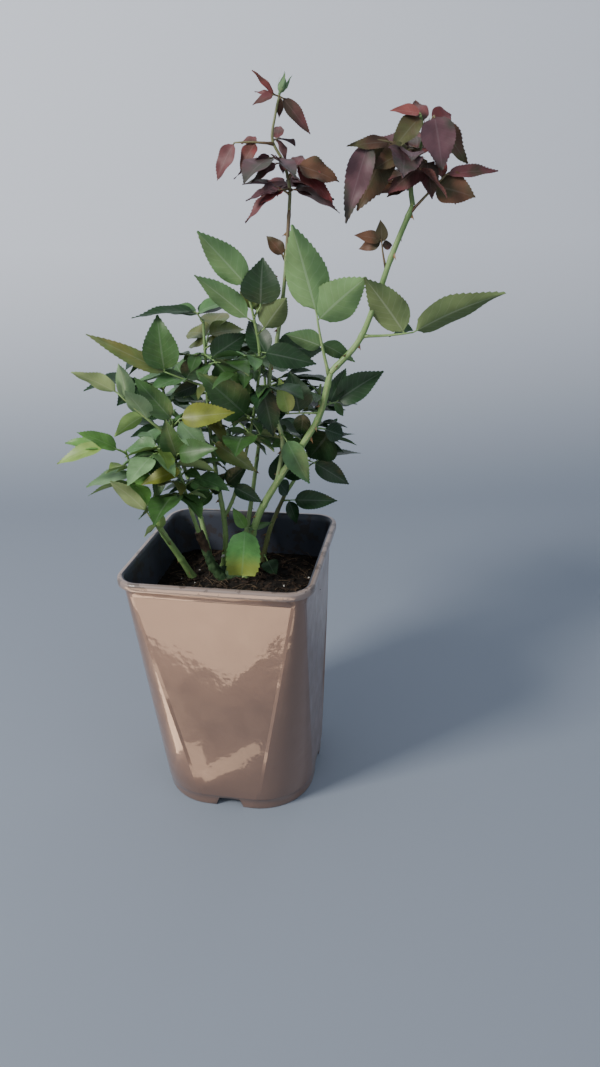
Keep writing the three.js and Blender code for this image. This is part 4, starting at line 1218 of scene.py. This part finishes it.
# Lights that only show as reflections in the pot: name, place, size, power and turn
GLOWS = [
    ("far_glow", (-0.27, -0.667, 0.03), (0.60, 0.70), 10.4, 18),
    ("left_glow", (-0.25, -0.145, 0.01), (0.27, 0.075), 0.75, 14),
    ("left_glow_far", (-0.60, -0.235, 0.01), (0.42, 0.15), 2.3, 14),
    ("right_glow", (0.15, -0.56, 0.02), (0.13, 0.50), 1.4, 0),
    ("near_glow_left", (-0.086, -0.126, 0.01), (0.030, 0.056), 0.028, -36),
    ("near_glow_right", (-0.041, -0.139, 0.01), (0.023, 0.080), 0.033, 36),
]
GLOW_COLOUR = (1.0, 0.65, 0.41)


def make_stage():
    """A floor that curves up into a plain backdrop."""
    bend, far, half = STAGE.bend, STAGE.far, STAGE.half
    profile = [(STAGE.near, 0.0), (far - bend, 0.0)]
    for k in range(1, 13):
        angle = k * pi / 24
        profile.append((far - bend + bend * sin(angle), bend - bend * cos(angle)))
    profile.append((far, STAGE.high))
    faces = grid(len(profile), 2)
    mesh = bpy.data.meshes.new("backdrop")
    mesh.from_pydata([(x, y, z) for y, z in profile for x in (-half, half)], [], faces)
    mesh.polygons.foreach_set("use_smooth", [True] * len(faces))
    backdrop = add_object("backdrop", mesh)
    paint = Paint("backdrop_paint", 0.9, 0.1)
    paint.set("Base Color", paint.ramp(paint.coords()[2], 0.0, (0.20, 0.23, 0.28), 0.5, (0.66, 0.69, 0.76)))
    mesh.materials.append(paint.material)


def add_light(name, place, target, size, power, colour):
    light = bpy.data.lights.new(name, "AREA")
    light.shape = "RECTANGLE"
    light.size, light.size_y = size
    light.energy = power
    light.color = colour
    made = add_object(name, light)
    made.location = place
    made.rotation_euler = (Vector(target) - Vector(place)).to_track_quat("-Z", "Y").to_euler()
    return made


def make_lights():
    for row in LIGHTS:
        add_light(*row)
    for name, place, size, power, spin in GLOWS:
        glow = add_light(name, place, (place[0], place[1], 1), size, power, GLOW_COLOUR)
        glow.rotation_euler = (pi, 0, radians(spin))
        glow.visible_camera = False
        glow.visible_diffuse = False
    world = bpy.data.worlds.new("sky")
    world.use_nodes = True
    background = world.node_tree.nodes["Background"]
    background.inputs["Color"].default_value = SKY.colour
    background.inputs["Strength"].default_value = SKY.strength
    bpy.context.scene.world = world


def make_camera():
    data = bpy.data.cameras.new("camera")
    data.lens = CAMERA.lens
    data.sensor_width = 36
    camera = add_object("camera", data)
    tilt = Matrix.Rotation(radians(90 - CAMERA.down), 4, "X")
    roll = Matrix.Rotation(radians(CAMERA.roll), 4, "Z")
    camera.matrix_world = Matrix.Translation(CAMERA.place) @ tilt @ roll
    bpy.context.scene.camera = camera


# Building

make_camera()
make_stage()
make_lights()

CANE_SKINS = {
    "cane": cane_material("cane_green", (0.112, 0.205, 0.064), (0.212, 0.325, 0.120)),
    "brown_cane": cane_material("cane_brown", (0.10, 0.09, 0.04), (0.17, 0.22, 0.08)),
    "tall_cane": tall_cane_material("cane_tall"),
    "olive_stem": cane_material("stem_olive", (0.11, 0.11, 0.045), (0.19, 0.22, 0.10)),
    "red_stem": cane_material("stem_red", (0.10, 0.045, 0.028), (0.15, 0.145, 0.065)),
    "old": stub_material("old_bark"),
    "thorn": grain_material("thorn_skin", (0.12, 0.05, 0.025), (0.24, 0.16, 0.07), 300, 0.5, 0.2),
}
LEAF_MATERIALS = []
for tint, (upper_colour, under_colour) in TINTS.items():
    LEAF_MATERIALS.append(leaf_material(tint, upper_colour, False))
    LEAF_MATERIALS.append(leaf_material(tint, under_colour, True))

make_pot(pot_material("pot_taupe", (0.157, 0.099, 0.078), 0.34, True),
         pot_material("pot_inside", (0.040, 0.046, 0.064), 0.4, False))
make_soil(
    # The compost's colours are its real dark brown made darker still, partly painted shade from the pot and
    # leaves over it.
    grain_material("compost", (0.003, 0.0025, 0.002), (0.018, 0.013, 0.010), 240, 0.95, 1.0),
    [grain_material("chip_dark", (0.007, 0.005, 0.004), (0.026, 0.017, 0.012), 300),
     grain_material("chip_brown", (0.015, 0.010, 0.007), (0.050, 0.031, 0.020), 300),
     grain_material("chip_tan", (0.09, 0.055, 0.032), (0.22, 0.145, 0.09), 300)],
    grain_material("straw", (0.042, 0.028, 0.018), (0.150, 0.105, 0.064), 400),
    grain_material("perlite_white", (0.5, 0.49, 0.46), (0.75, 0.74, 0.70), 500),
)
make_union(CANE_SKINS["old"])
grow_canes(CANE_SKINS)
make_bud(LEAF_MATERIALS[2 * TINT_NAMES.index("mint")])
TWIG_SKINS = [CANE_SKINS[name] for name in ("cane", "red_stem", "olive_stem")]
make_foliage(grow_leaves(), LEAF_MATERIALS, TWIG_SKINS)
